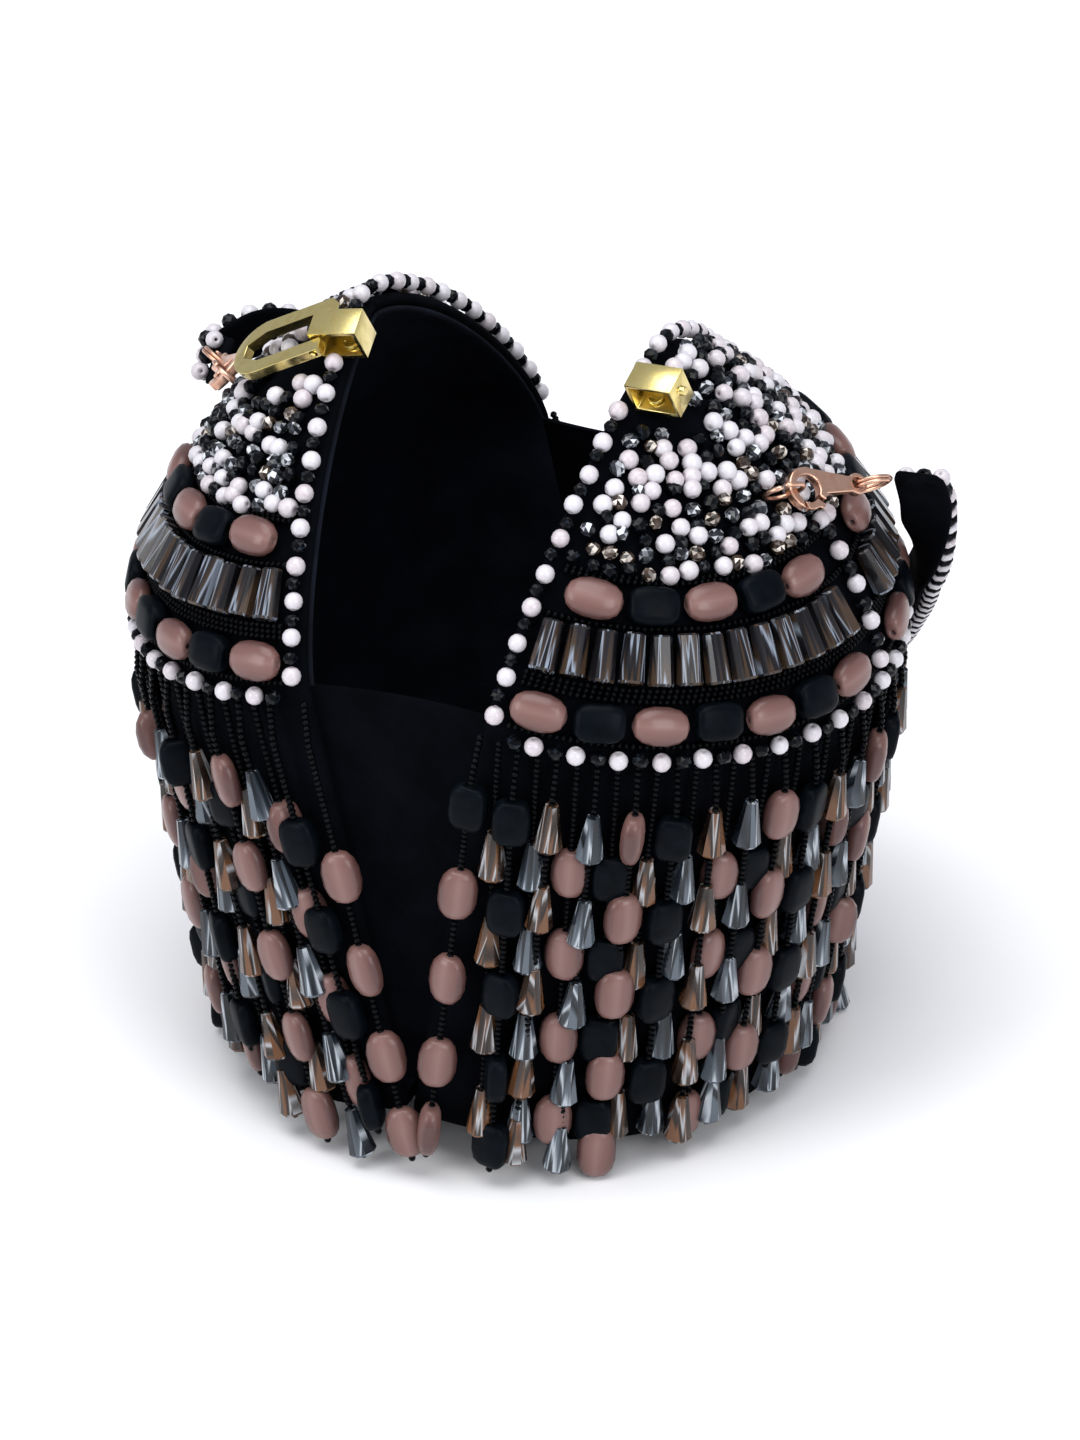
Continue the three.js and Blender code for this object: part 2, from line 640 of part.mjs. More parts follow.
// Velvet between the halves
function gusset() {
  const reach = (z) => z * Math.tan(TILT) - GAP;
  const panel = new THREE.Shape();
  panel.moveTo(-reach(GUSSET.foot), GUSSET.foot);
  panel.lineTo(reach(GUSSET.foot), GUSSET.foot);
  panel.lineTo(reach(GUSSET.top), GUSSET.top);
  panel.lineTo(-reach(GUSSET.top), GUSSET.top);
  const plate = new THREE.ExtrudeGeometry(panel, { depth: GUSSET.thick, bevelEnabled: false });
  return plate.rotateX(Math.PI / 2).translate(0, GUSSET.thick / 2, HINGE_HEIGHT);
}

function hingeStrip() {
  const foot = SHELL_THICKNESS + LINING_THICKNESS + 3 * GAP;
  const top = foot + HINGE_STRIP.thick;
  const flapEnd = (side, z) => {
    const [sine, cosine] = [Math.sin(TILT), Math.cos(TILT)];
    return [side * (HINGE_STRIP.reach * cosine + z * sine), z * cosine - HINGE_STRIP.reach * sine];
  };
  const fold = new THREE.Shape();
  fold.moveTo(...flapEnd(-1, foot));
  fold.lineTo(0, foot);
  fold.lineTo(...flapEnd(1, foot));
  fold.lineTo(...flapEnd(1, top));
  fold.lineTo(0, top);
  fold.lineTo(...flapEnd(-1, top));
  const strip = new THREE.ExtrudeGeometry(fold, { depth: HINGE_STRIP.length, bevelEnabled: false });
  return strip.rotateX(Math.PI / 2).translate(0, HINGE_STRIP.length / 2, HINGE_HEIGHT);
}

// Assembly
function mesh(name, shape, finish) {
  const geometry = closedMesh(shape instanceof THREE.BufferGeometry ? shape : toGeometry(shape));
  geometry.computeVertexNormals();
  const piece = new THREE.Mesh(geometry, new THREE.MeshStandardMaterial(FINISH[finish]));
  piece.name = name;
  return piece;
}

function placed(shape, frame) {
  const geometry = shape instanceof THREE.BufferGeometry ? shape.clone() : toGeometry(shape);
  return geometry.applyMatrix4(frame);
}

function half(side) {
  const left = side === 'left';
  const group = new THREE.Group();
  const mirror = new THREE.Matrix4().makeScale(left ? -1 : 1, 1, 1);
  const add = (name, shape, finish) => group.add(mesh(name, placed(shape, mirror), finish));
  const boxFrame = left ? claspFrame(side) : rightBoxFrame();
  const claw = clawFrame(CLAWS[side]);
  const pockets = [claspPocket(side), ringPocket(CLAWS[side])];
  if (left) pockets.push(haspPocket());

  add(`shell_${side}`, shell(), 'velvet');
  add(`lining_${side}`, lining(), 'velvet');
  add(`dome_beads_${side}`, domeBeads(pockets), 'roundBead');
  for (const gore of ['front', 'back']) {
    add(`upper_ovals_${gore}_${side}`, stoneRow(BANDS.upper, OVAL, gore), 'ovalBead');
    add(`crystals_${gore}_${side}`, stoneRow(BANDS.crystals, CRYSTAL, gore), 'crystal');
    add(`lower_ovals_${gore}_${side}`, stoneRow(BANDS.lower, OVAL, gore), 'ovalBead');
  }
  add(`hem_beads_${side}`, hemBeads(), 'roundBead');
  add(`seam_beads_${side}`, seamBeads(), 'roundBead');
  add(`rim_beads_front_${side}`, rimBeadsFront(), 'roundBead');
  add(`rim_beads_back_${side}`, rimBeadsBack(), 'roundBead');
  add(`fringe_${side}`, fringe(), 'ovalBead');
  add(`clasp_box_${side}`, placed(claspBox(left), boxFrame), 'gold');
  add(`clasp_screw_${side}`, placed(claspScrew(), boxFrame), 'gold');
  add(`shell_ring_${side}`, placed(shellRing(), claw), 'roseGold');
  add(`claw_${side}`, placed(clawBody(), claw), 'roseGold');
  add(`claw_lever_${side}`, placed(clawLever(), claw), 'roseGold');
  add(`split_ring_${side}`, placed(splitRing(), claw), 'roseGold');
  if (left) {
    add('hasp', placed(hasp(), haspFrame()), 'gold');
    add('hasp_pin', placed(pinAlong(PIN_RADIUS, PIN_HALF), claspFrame(side)), 'gold');
  }
  group.rotation.y = left ? -TILT : TILT;
  group.position.z = HINGE_HEIGHT;
  return group;
}

function boxClutch() {
  const clutch = new THREE.Group();
  clutch.add(half('left'), half('right'));
  const front = -(HALF_DEPTH - GUSSET.inset);
  clutch.add(mesh('gusset_front', gusset().translate(0, front, 0), 'velvet'));
  clutch.add(mesh('gusset_back', gusset().translate(0, -front, 0), 'velvet'));
  clutch.add(mesh('hinge_strip', hingeStrip(), 'velvet'));
  clutch.add(mesh('wrist_strap', wristStrap(), 'velvet'));
  clutch.updateMatrixWorld(true);
  const bounds = new THREE.Box3().setFromObject(clutch, true);
  const middle = bounds.getCenter(vec(0, 0, 0));
  clutch.position.set(-middle.x, -middle.y, -bounds.min.z);
  return clutch;
}

export default boxClutch();
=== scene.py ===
"""Dresses a round beaded box clutch that stands open in a V on its bead fringe.

Sizes are in millimetres unless a name says otherwise, and every finished mesh is in metres, in the
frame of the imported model. Each half is worked out as a right half with its hinge line on the Y axis
and its split plane at x = 0; Half then mirrors, tilts and places it.
"""

import logging
import math
import random
from collections.abc import Callable, Sequence
from dataclasses import dataclass, field
from enum import Enum
from functools import cache

import bmesh
import bpy
from mathutils import Matrix, Vector


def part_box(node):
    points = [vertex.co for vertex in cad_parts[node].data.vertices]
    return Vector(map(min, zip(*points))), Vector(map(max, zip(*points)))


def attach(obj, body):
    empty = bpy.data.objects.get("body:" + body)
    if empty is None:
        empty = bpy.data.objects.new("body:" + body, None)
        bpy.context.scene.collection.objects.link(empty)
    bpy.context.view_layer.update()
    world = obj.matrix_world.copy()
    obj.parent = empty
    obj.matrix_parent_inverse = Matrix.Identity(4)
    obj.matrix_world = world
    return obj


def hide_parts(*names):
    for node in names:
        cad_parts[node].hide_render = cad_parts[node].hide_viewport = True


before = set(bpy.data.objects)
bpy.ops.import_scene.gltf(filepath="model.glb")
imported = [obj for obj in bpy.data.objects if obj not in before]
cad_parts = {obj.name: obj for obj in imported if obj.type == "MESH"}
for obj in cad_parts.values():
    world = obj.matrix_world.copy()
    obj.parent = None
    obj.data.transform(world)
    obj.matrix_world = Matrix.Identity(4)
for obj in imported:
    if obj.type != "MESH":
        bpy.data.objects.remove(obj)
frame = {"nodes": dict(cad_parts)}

LOG = logging.getLogger("box_clutch")
MM = 0.001
SEED = 20
BAG = "bag"
SPOT_DATA = (("kind", "INT"), ("turn", "FLOAT_VECTOR"), ("grow", "FLOAT"))

Shape = bmesh.types.BMesh
Mesh = bpy.types.Mesh
Piece = bpy.types.Object
Material = bpy.types.Material
Tree = bpy.types.NodeTree
Socket = bpy.types.NodeSocket


# Numbers


class Chance(random.Random):
    """Seeded source of the small irregularities of hand work."""

    def stray(self, size: float) -> float:
        """Draw a number of up to this size, of either sign."""
        return self.uniform(-size, size)


def linear(code: str) -> tuple[float, float, float, float]:
    """Turn an sRGB colour, as #rrggbb, into linear red, green and blue with an alpha of one."""
    parts = [int(code[start : start + 2], 16) / 255 for start in (1, 3, 5)]
    red, green, blue = [p / 12.92 if p <= 0.04045 else ((p + 0.055) / 1.055) ** 2.4 for p in parts]
    return (red, green, blue, 1.0)


def per(size: float) -> float:
    """Scale of a texture whose features are this many millimetres across, on coordinates in metres."""
    return 1 / (size * MM)


def evenly(low: float, high: float, count: int) -> list[float]:
    """Places from one end to the other in this many equal steps."""
    return [low + (high - low) * step / count for step in range(count + 1)]


def circle(sides: int, shift: float = 0.0) -> list[float]:
    """Angles of the corners of an even polygon, shifted by a share of a side."""
    return [math.tau * (index + shift) / sides for index in range(sides)]


def signed_power(value: float, power: float) -> float:
    """Power of a number's size with the number's sign."""
    return math.copysign(abs(value) ** power, value)


def basis(x: Vector, y: Vector, z: Vector, place: Vector) -> Matrix:
    """Matrix with these three axes at this place."""
    return Matrix.Translation(place) @ Matrix((x, y, z)).transposed().to_4x4()


def turned_about(local: Matrix, angle: float, axis: str) -> Matrix:
    """Turn a frame about one of its own axes."""
    return local @ Matrix.Rotation(angle, 4, axis)


# Nodes


def add_node(
    tree: Tree,
    kind: str,
    inputs: dict[str | int, object] | None = None,
    out: str | int = 0,
    stops: Sequence[tuple[float, str]] = (),
    **settings: object,
) -> Socket | None:
    """Add a node with its settings, values and links.

    Args:
        tree: Tree the node goes into.
        kind: Blender's name for the kind of node.
        inputs: Values by input; a socket is linked and anything else is set.
        out: The output that is wanted.
        stops: Places and hex colours of a colour ramp.
        settings: Properties of the node.

    Returns:
        The wanted output, where the node has outputs.
    """
    node = tree.nodes.new(kind)
    for name, value in settings.items():
        setattr(node, name, value)
    for key, value in (inputs or {}).items():
        if isinstance(value, Socket):
            tree.links.new(value, node.inputs[key])
        else:
            node.inputs[key].default_value = value
    for index, (place, code) in enumerate(stops):
        elements = node.color_ramp.elements
        element = elements[index] if index < len(elements) else elements.new(place)
        element.position = place
        element.color = linear(code)
    return node.outputs[out] if node.outputs else None


class Paint:
    """A material in the making: adds its nodes and hands on their outputs."""

    def __init__(self, name: str) -> None:
        """Start an empty material with the name of the real one."""
        self.material = bpy.data.materials.new(name)
        self.material.use_nodes = True
        self.tree = self.material.node_tree
        self.tree.nodes.clear()

    def place(self) -> Socket:
        """Place on the piece, in metres."""
        return add_node(self.tree, "ShaderNodeTexCoord", out="Object")

    def read(self, name: str) -> Socket:
        """Value that a bead carries under this name."""
        return add_node(self.tree, "ShaderNodeAttribute", out="Fac", attribute_name=name)

    def reckon(self, operation: str, *terms: Socket | float) -> Socket:
        """Result of a sum with up to three terms."""
        return add_node(self.tree, "ShaderNodeMath", dict(enumerate(terms)), operation=operation)

    def noise(self, place: Socket, scale: float, detail: float = 2.0) -> Socket:
        """Noise of a scale and a detail."""
        inputs = {"Vector": place, "Scale": scale, "Detail": detail}
        return add_node(self.tree, "ShaderNodeTexNoise", inputs)

    def bead_noise(self, third: Socket, scales: tuple[float, float, float], detail: float = 2.0) -> Socket:
        """Noise by a place across a bead, along it and by a third value, each with its own scale."""
        place = {"X": self.read("across"), "Y": self.read("along"), "Z": third}
        terms = {0: add_node(self.tree, "ShaderNodeCombineXYZ", place), 1: scales}
        drawn_out = add_node(self.tree, "ShaderNodeVectorMath", terms, operation="MULTIPLY")
        return self.noise(drawn_out, 1.0, detail)

    def ramp(self, share: Socket, *stops: tuple[float, str]) -> Socket:
        """Colour by a share, between hex colours at their places."""
        return add_node(self.tree, "ShaderNodeValToRGB", {"Fac": share}, stops=stops)

    def relief(self, height: Socket, depth: float, strength: float) -> Socket:
        """Fine relief with a depth in millimetres."""
        inputs = {"Height": height, "Distance": depth * MM, "Strength": strength}
        return add_node(self.tree, "ShaderNodeBump", inputs)

    def finish(self, values: dict[str, object]) -> Material:
        """Close the material with a surface of these values."""
        shader = add_node(self.tree, "ShaderNodeBsdfPrincipled", values)
        add_node(self.tree, "ShaderNodeOutputMaterial", {"Surface": shader})
        return self.material


# Finishes


class Finish:
    """A real material; each kind says how it is painted."""

    name: str

    @cache
    def material(self) -> Material:
        """The finish's material, painted once."""
        return self.paint(Paint(self.name))


@dataclass(frozen=True)
class CottonVelvet(Finish):
    """Black cotton velvet over board: its pile drinks the light and its brushed tips show a little."""

    name: str = "black_cotton_velvet"
    deep: str = "#050609"
    brushed: str = "#090a0f"
    sheen_tint: str = "#39404f"
    pile_size: float = 0.55
    pile_detail: float = 3.0
    pile_depth: float = 0.25
    brushing_size: float = 11.0

    def paint(self, paint: Paint) -> Material:
        """Paint patches where a hand has brushed the pile the other way, and the pile."""
        place = paint.place()
        brushing = paint.noise(place, per(self.brushing_size))
        # Single tufts are finer than this and would not show
        pile = paint.noise(place, per(self.pile_size), self.pile_detail)
        return paint.finish(
            {
                "Base Color": paint.ramp(brushing, (0.38, self.deep), (0.7, self.brushed)),
                "Normal": paint.relief(pile, self.pile_depth, strength=0.8),
                "Roughness": 0.95,
                "Specular IOR Level": 0.02,
                "Sheen Weight": 0.01,
                "Sheen Roughness": 0.35,
                "Sheen Tint": linear(self.sheen_tint),
            }
        )


@dataclass(frozen=True)
class PressedGlass(Finish):
    """White opaque pressed glass: a soft gloss over a chalky, faintly pink body, no two beads alike."""

    name: str = "white_pressed_glass"
    body: str = "#d0cdd2"
    blush: str = "#bfb3b7"
    mottle_size: float = 0.9
    dimple: float = 0.05

    def paint(self, paint: Paint) -> Material:
        """Paint a mottle that is stronger in some beads than in others."""
        mottle = paint.noise(paint.place(), per(self.mottle_size))
        share = paint.reckon("MULTIPLY", mottle, paint.read("bead_tone"))
        return paint.finish(
            {
                "Base Color": paint.ramp(share, (0.1, self.body), (0.6, self.blush)),
                "Normal": paint.relief(mottle, self.dimple, strength=0.6),
                "Roughness": 0.32,
                "IOR": 1.5,
                "Coat Weight": 0.25,
                "Coat Roughness": 0.15,
            }
        )


@dataclass(frozen=True)
class CutGlass(Finish):
    """Fire-polished glass: flat facets that each mirror another part of the room, some lit, most dark."""

    name: str
    dark: str
    body: str
    flash: str
    flash_from: float
    roughness: float = 0.06
    gloss: float = 0.5

    def paint(self, paint: Paint) -> Material:
        """Paint facets that catch the light in another place on each bead."""
        turned = paint.reckon("ADD", paint.read("facet"), paint.read("bead_tone"))
        lit = paint.reckon("FRACT", turned)
        stops = ((0.0, self.dark), (self.flash_from, self.body), (1.0, self.flash))
        return paint.finish(
            {
                "Base Color": paint.ramp(lit, *stops),
                "Roughness": self.roughness,
                "IOR": 1.56,
                "Specular IOR Level": self.gloss,
            }
        )


@dataclass(frozen=True)
class CatEyeGlass(Finish):
    """Pink cat's-eye glass: fibres along the bead gather the light in a pale line down its middle."""

    name: str = "pink_cat_eye_glass"
    rim: str = "#553b38"
    body: str = "#73544f"
    line: str = "#80625d"
    blush: str = "#694b46"
    fibres: tuple[float, float, float] = (9.0, 0.6, 40.0)
    wander: float = 0.22

    def paint(self, paint: Paint) -> Material:
        """Paint from the pale line to the rim, with an edge that wanders from fibre to fibre."""
        grain = paint.bead_noise(paint.read("bead_tone"), self.fibres)
        away = paint.reckon("ABSOLUTE", paint.read("across"))
        share = paint.reckon("MULTIPLY_ADD", grain, self.wander, away)
        stops = ((0.06, self.line), (0.45, self.body), (0.8, self.blush), (1.0, self.rim))
        return paint.finish(
            {
                "Base Color": paint.ramp(share, *stops),
                "Roughness": 0.34,
                "IOR": 1.5,
                "Specular IOR Level": 0.3,
                "Coat Weight": 0.12,
                "Coat Roughness": 0.12,
            }
        )


@dataclass(frozen=True)
class SatinGlass(Finish):
    """Slate-black tumbled glass: a dull flat face, and a thin grey light on its rounded edge."""

    name: str = "slate_satin_glass"
    body: str = "#04070b"
    bloom: str = "#080d13"
    bloom_size: float = 3.0
    grit_size: float = 0.3
    grit_depth: float = 0.02

    def paint(self, paint: Paint) -> Material:
        """Paint a faint bloom over the grit that dulls the face."""
        place = paint.place()
        bloom = paint.noise(place, per(self.bloom_size))
        grit = paint.noise(place, per(self.grit_size))
        return paint.finish(
            {
                "Base Color": paint.ramp(bloom, (0.35, self.body), (0.72, self.bloom)),
                "Normal": paint.relief(grit, self.grit_depth, strength=0.5),
                "Roughness": 0.4,
                "IOR": 1.5,
                "Specular IOR Level": 0.045,
            }
        )


@dataclass(frozen=True)
class CrystalGlass(Finish):
    """Coated moulded crystal: its facets break what lies behind into bright and dark streaks."""

    name: str
    dark: str
    body: str
    warm: str
    bright: str
    clear: float
    streaks: tuple[float, float, float] = (2.1, 0.1, 9.0)
    streak_detail: float = 0.7
    facet_step: float = 7.0
    foot: float = -0.1
    cutting: float = 0.5
    roughness: float = 0.14
    gloss: float = 0.25

    def paint(self, paint: Paint) -> Material:
        """Paint streaks from end to end that start afresh on each facet."""
        cut = paint.reckon("MULTIPLY_ADD", paint.read("bead_tone"), self.facet_step, paint.read("facet"))
        streak = paint.bead_noise(cut, self.streaks, self.streak_detail)
        # Each facet mirrors another part of the room, and the foot of a stone is lighter than its neck
        footed = paint.reckon("MULTIPLY_ADD", paint.read("along"), self.foot, streak)
        share = paint.reckon("MULTIPLY_ADD", paint.reckon("FRACT", cut), self.cutting, footed)
        stops = (
            (0.42, self.dark),
            (0.6, self.body),
            (0.7, self.warm),
            (0.76, self.bright),
            (0.82, self.body),
            (0.92, self.dark),
            (1.0, self.warm),
        )
        return paint.finish(
            {
                "Base Color": paint.ramp(share, *stops),
                "Roughness": self.roughness,
                "IOR": 1.55,
                "Specular IOR Level": self.gloss,
                "Transmission Weight": self.clear,
            }
        )


@dataclass(frozen=True)
class Plate(Finish):
    """Bright plate on stamped or cast zinc: a mirror with faint waves, polish lines and thin spots."""

    name: str
    body: str
    thin: str
    roughness: float
    wave_size: float = 2.5
    wave_detail: float = 4.0
    dulling: tuple[float, float] = (0.7, 1.5)
    line_size: float = 0.25
    line_depth: float = 0.0006
    line_stretch: tuple[float, float, float] = (1.0, 0.12, 0.3)
    line_turn: tuple[float, float, float] = (0.4, 0.2, 0.7)

    def paint(self, paint: Paint) -> Material:
        """Paint thin, duller spots, and polish lines stretched across the pieces."""
        place = paint.place()
        wave = paint.noise(place, per(self.wave_size), self.wave_detail)
        least, most = [share * self.roughness for share in self.dulling]
        dull = add_node(paint.tree, "ShaderNodeMapRange", {"Value": wave, "To Min": least, "To Max": most})
        stretch = {"Vector": place, "Scale": self.line_stretch, "Rotation": self.line_turn}
        lines = paint.noise(add_node(paint.tree, "ShaderNodeMapping", stretch), per(self.line_size))
        return paint.finish(
            {
                "Base Color": paint.ramp(wave, (0.45, self.body), (0.75, self.thin)),
                "Normal": paint.relief(lines, self.line_depth, strength=0.4),
                "Roughness": dull,
                "Metallic": 1.0,
            }
        )


VELVET = CottonVelvet()
# The lining is the cover's black velvet painted lighter, as painted fill light for the shaded inside of each
# half
LINING_PAINTED_LIGHTER = CottonVelvet("black_velvet_lining", "#14161c", "#1b1e27")
WHITE_GLASS = PressedGlass()
BLACK_GLASS = CutGlass("black_cut_glass", "#030407", "#07090d", "#1d232b", 0.85, 0.1, 0.13)
SEED_GLASS = CutGlass("black_seed_glass", "#030406", "#050609", "#0a0c10", 0.8, 0.3, 0.06)
SMOKE_GLASS = CutGlass("smoky_cut_glass", "#0b0d10", "#34373d", "#e6ebf2", 0.7, gloss=0.35)
CHAMPAGNE_GLASS = CutGlass("champagne_cut_glass", "#17110d", "#4e4036", "#ece3d8", 0.72, gloss=0.35)
PINK_GLASS = CatEyeGlass()
SLATE_GLASS = SatinGlass()
BAND_GLASS = CrystalGlass("smoky_coated_crystal", "#101013", "#242326", "#443529", "#8f9aa9", 0.15)
CLEAR_GLASS = CrystalGlass("clear_coated_crystal", "#14181d", "#343b43", "#646e78", "#ccd4dc", 0.3)
AMBER_GLASS = CrystalGlass("amber_coated_crystal", "#1b130f", "#463a33", "#7b5439", "#c4c7cb", 0.3)
GOLD = Plate("pale_gold_plate", "#e8d690", "#dac47a", 0.22)
ROSE_GOLD = Plate("rose_gold_plate", "#dcb199", "#c9977d", 0.28)


# The bag's form


class Side(Enum):
    """The two halves of the clutch."""

    LEFT = "left"
    RIGHT = "right"

    @property
    def sign(self) -> float:
        """Direction of the half along x."""
        return -1.0 if self is Side.LEFT else 1.0


@dataclass
class BagForm:
    """The surface that all is sewn to, by azimuth round the bag and length up the dome from the hem row."""

    half_width: float = 64.5
    half_depth: float = 69.0
    wall_height: float = 104.0
    dome_height: float = 61.0
    dome_power: float = 1.41
    tilt: float = math.radians(11.2)
    hinge_height: float = 14.5
    steps: int = 400
    table: list[tuple[float, float, float]] = field(init=False, default_factory=list)

    def __post_init__(self) -> None:
        """Measure the dome's meridian."""
        exponent = 2 / self.dome_power
        mean_radius = (self.half_width + self.half_depth) / 2
        self.table.append((0.0, 1.0, 0.0))
        for step in range(1, self.steps + 1):
            angle = step / self.steps * math.pi / 2
            share = max(math.cos(angle), 0.0) ** exponent
            rise = math.sin(angle) ** exponent * self.dome_height
            length, last_share, last_rise = self.table[-1]
            length += math.hypot((share - last_share) * mean_radius, rise - last_rise)
            self.table.append((length, share, rise))

    @property
    def apex(self) -> float:
        """Length from the hem row to the top of the dome."""
        return self.table[-1][0]

    def meridian(self, arc: float) -> tuple[float, float]:
        """Share of the radius and height over the hinge line, by length up the dome or down the wall."""
        if arc <= 0:
            return 1.0, self.wall_height + arc
        arc = min(arc, self.apex)
        upper = next(index for index, row in enumerate(self.table) if row[0] >= arc)
        (low, share_a, rise_a), (high, share_b, rise_b) = self.table[upper - 1], self.table[upper]
        part = (arc - low) / (high - low)
        return share_a + (share_b - share_a) * part, self.wall_height + rise_a + (rise_b - rise_a) * part

    def normal(self, azimuth: float, arc: float) -> Vector:
        """Outward direction of the surface at an azimuth and a length."""
        out = Vector((math.sin(azimuth) / self.half_width, -math.cos(azimuth) / self.half_depth, 0))
        if arc > 0:
            share, height = self.meridian(arc)
            out *= share ** (self.dome_power - 1)
            risen = (height - self.wall_height) / self.dome_height
            out.z = risen ** (self.dome_power - 1) / self.dome_height
        return out.normalized()

    def point(self, azimuth: float, arc: float, lift: float = 0.0) -> Vector:
        """Point at a lift over the surface."""
        share, height = self.meridian(arc)
        x = share * self.half_width * math.sin(azimuth)
        y = -share * self.half_depth * math.cos(azimuth)
        return Vector((x, y, height)) + lift * self.normal(azimuth, arc)

    def frame(self, azimuth: float, arc: float, lift: float = 0.0) -> Matrix:
        """Frame on the surface: x along the row, y up the dome, z outwards."""
        out = self.normal(azimuth, arc)
        along = Vector((self.half_width * math.cos(azimuth), self.half_depth * math.sin(azimuth), 0))
        up = out.cross(along).normalized()
        return basis(up.cross(out), up, out, self.point(azimuth, arc, lift))

    def row_radius(self, azimuth: float, arc: float) -> float:
        """Length of a row per radian of azimuth."""
        along = math.hypot(self.half_width * math.cos(azimuth), self.half_depth * math.sin(azimuth))
        return self.meridian(arc)[0] * along


@dataclass
class Half:
    """One half of the bag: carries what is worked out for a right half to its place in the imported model."""

    form: BagForm
    side: Side
    hinge: Vector

    def name(self, piece: str) -> str:
        """Name of one of this half's pieces."""
        return f"{piece}_{self.side.value}"

    def chance(self, work: str) -> Chance:
        """Source of the irregularities of one kind of work on this half."""
        return Chance(f"{SEED} {work} {self.side.value}")

    def direction(self, vector: Vector) -> Vector:
        """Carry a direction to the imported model."""
        turned = Vector((self.side.sign * vector.x, vector.y, vector.z))
        return Matrix.Rotation(self.side.sign * self.form.tilt, 3, "Y") @ turned

    def carry(self, point: Vector) -> Vector:
        """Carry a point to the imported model, in metres."""
        return (self.direction(point) + self.hinge) * MM

    def place(self, local: Matrix) -> Matrix:
        """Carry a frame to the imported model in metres, kept right-handed by its x axis."""
        up = self.direction(local.col[1].to_3d())
        out = self.direction(local.col[2].to_3d())
        return basis(up.cross(out), up, out, self.carry(local.translation))

    def carry_mesh(self, shape: Shape, local: Matrix | None = None) -> None:
        """Carry a whole mesh, first by a frame of this half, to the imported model."""
        for vertex in shape.verts:
            vertex.co = self.carry(local @ vertex.co if local else vertex.co)
        if self.side is Side.LEFT:
            bmesh.ops.reverse_faces(shape, faces=shape.faces)


def bag_halves(form: BagForm) -> dict[Side, Half]:
    """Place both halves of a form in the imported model."""
    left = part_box("shell_left")
    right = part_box("shell_right")
    x = (left[0].x + right[1].x) / 2 / MM
    y = (left[0].y + left[1].y) / 2 / MM
    hinge = Vector((x, y, form.hinge_height))
    return {side: Half(form, side, hinge) for side in Side}


# Meshes


def to_mesh(shape: Shape, name: str) -> Mesh:
    """Store a shape as a mesh and free it."""
    mesh = bpy.data.meshes.new(name)
    shape.to_mesh(mesh)
    shape.free()
    return mesh


def new_piece(mesh: Mesh, name: str, material: Material | None = None) -> Piece:
    """Show a mesh as an object at the origin, with a material where it has none yet."""
    piece = bpy.data.objects.new(name, mesh)
    mesh.name = name
    if material:
        mesh.materials.clear()
        mesh.materials.append(material)
    bpy.context.scene.collection.objects.link(piece)
    return piece


def settle(piece: Piece) -> Mesh:
    """Take what an object's modifiers make as a plain mesh and delete the object."""
    graph = bpy.context.evaluated_depsgraph_get()
    made = piece.evaluated_get(graph)
    mesh = bpy.data.meshes.new_from_object(made, preserve_all_data_layers=True, depsgraph=graph)
    bpy.data.objects.remove(piece)
    return mesh


def hand_over(piece: Piece, slot: str, *nodes: str, body: str = BAG) -> Piece:
    """Ride a finished piece on its body in place of its solids.

    Args:
        piece: Finished piece.
        slot: Not used.
        nodes: Solids that it stands for.
        body: Body that it moves with.

    Returns:
        The same piece.
    """
    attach(piece, body)
    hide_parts(*nodes)
    triangles = sum(len(face.vertices) - 2 for face in piece.data.polygons)
    LOG.info("%s: %d triangles", piece.name, triangles)
    return piece


def dress(mesh: Mesh, finish: Finish, slot: str, *nodes: str, body: str = BAG) -> Piece:
    """Show a finished mesh under its own name and hand it over, as above."""
    return hand_over(new_piece(mesh, mesh.name, finish.material()), slot, *nodes, body=body)


def loft(rings: Sequence[Sequence[Vector]], closed: bool, capped: bool = False) -> Shape:
    """Skin rings of equal point count.

    Args:
        rings: Rings of points in order.
        closed: Whether the last ring joins the first.
        capped: Whether the end rings are closed by a face.

    Returns:
        The skin, with its faces outwards where it is closed.
    """
    shape = bmesh.new()
    made = [[shape.verts.new(point) for point in ring] for ring in rings]
    for low, high in zip(made, made[1:] + made[:1] if closed else made[1:]):
        for index in range(len(low)):
            after = (index + 1) % len(low)
            shape.faces.new((low[index], low[after], high[after], high[index]))
    if capped:
        shape.faces.new(made[0])
        shape.faces.new(made[-1])
    bmesh.ops.recalc_face_normals(shape, faces=shape.faces)
    return shape


def rounded(shape: Shape, smooth: bool = True) -> Shape:
    """Shade all of a shape's faces as round, or else as flat."""
    for face in shape.faces:
        face.smooth = smooth
    return shape


# Beads


class Bead(Enum):
    """The kinds of bead, each with a shape and a finish."""

    WHITE = 0
    BLACK = 1
    SMOKE = 2
    CHAMPAGNE = 3
    PINK = 4
    SLATE = 5
    BAND_CRYSTAL = 6
    CLEAR_DROP = 7
    AMBER_DROP = 8
    WHITE_DISC = 9
    BLACK_DISC = 10


@dataclass
class Spot:
    """Where one bead sits: its frame has x along the bead's hole and z out of the bag."""

    kind: Bead
    frame: Matrix
    size: float = 1.0


@dataclass(frozen=True)
class Oval:
    """Length, width and thickness of a flat oval, and the powers of its outline and of its section."""

    size: tuple[float, float, float]
    outline: float
    puff: float


Profile = tuple[tuple[float, float], ...]


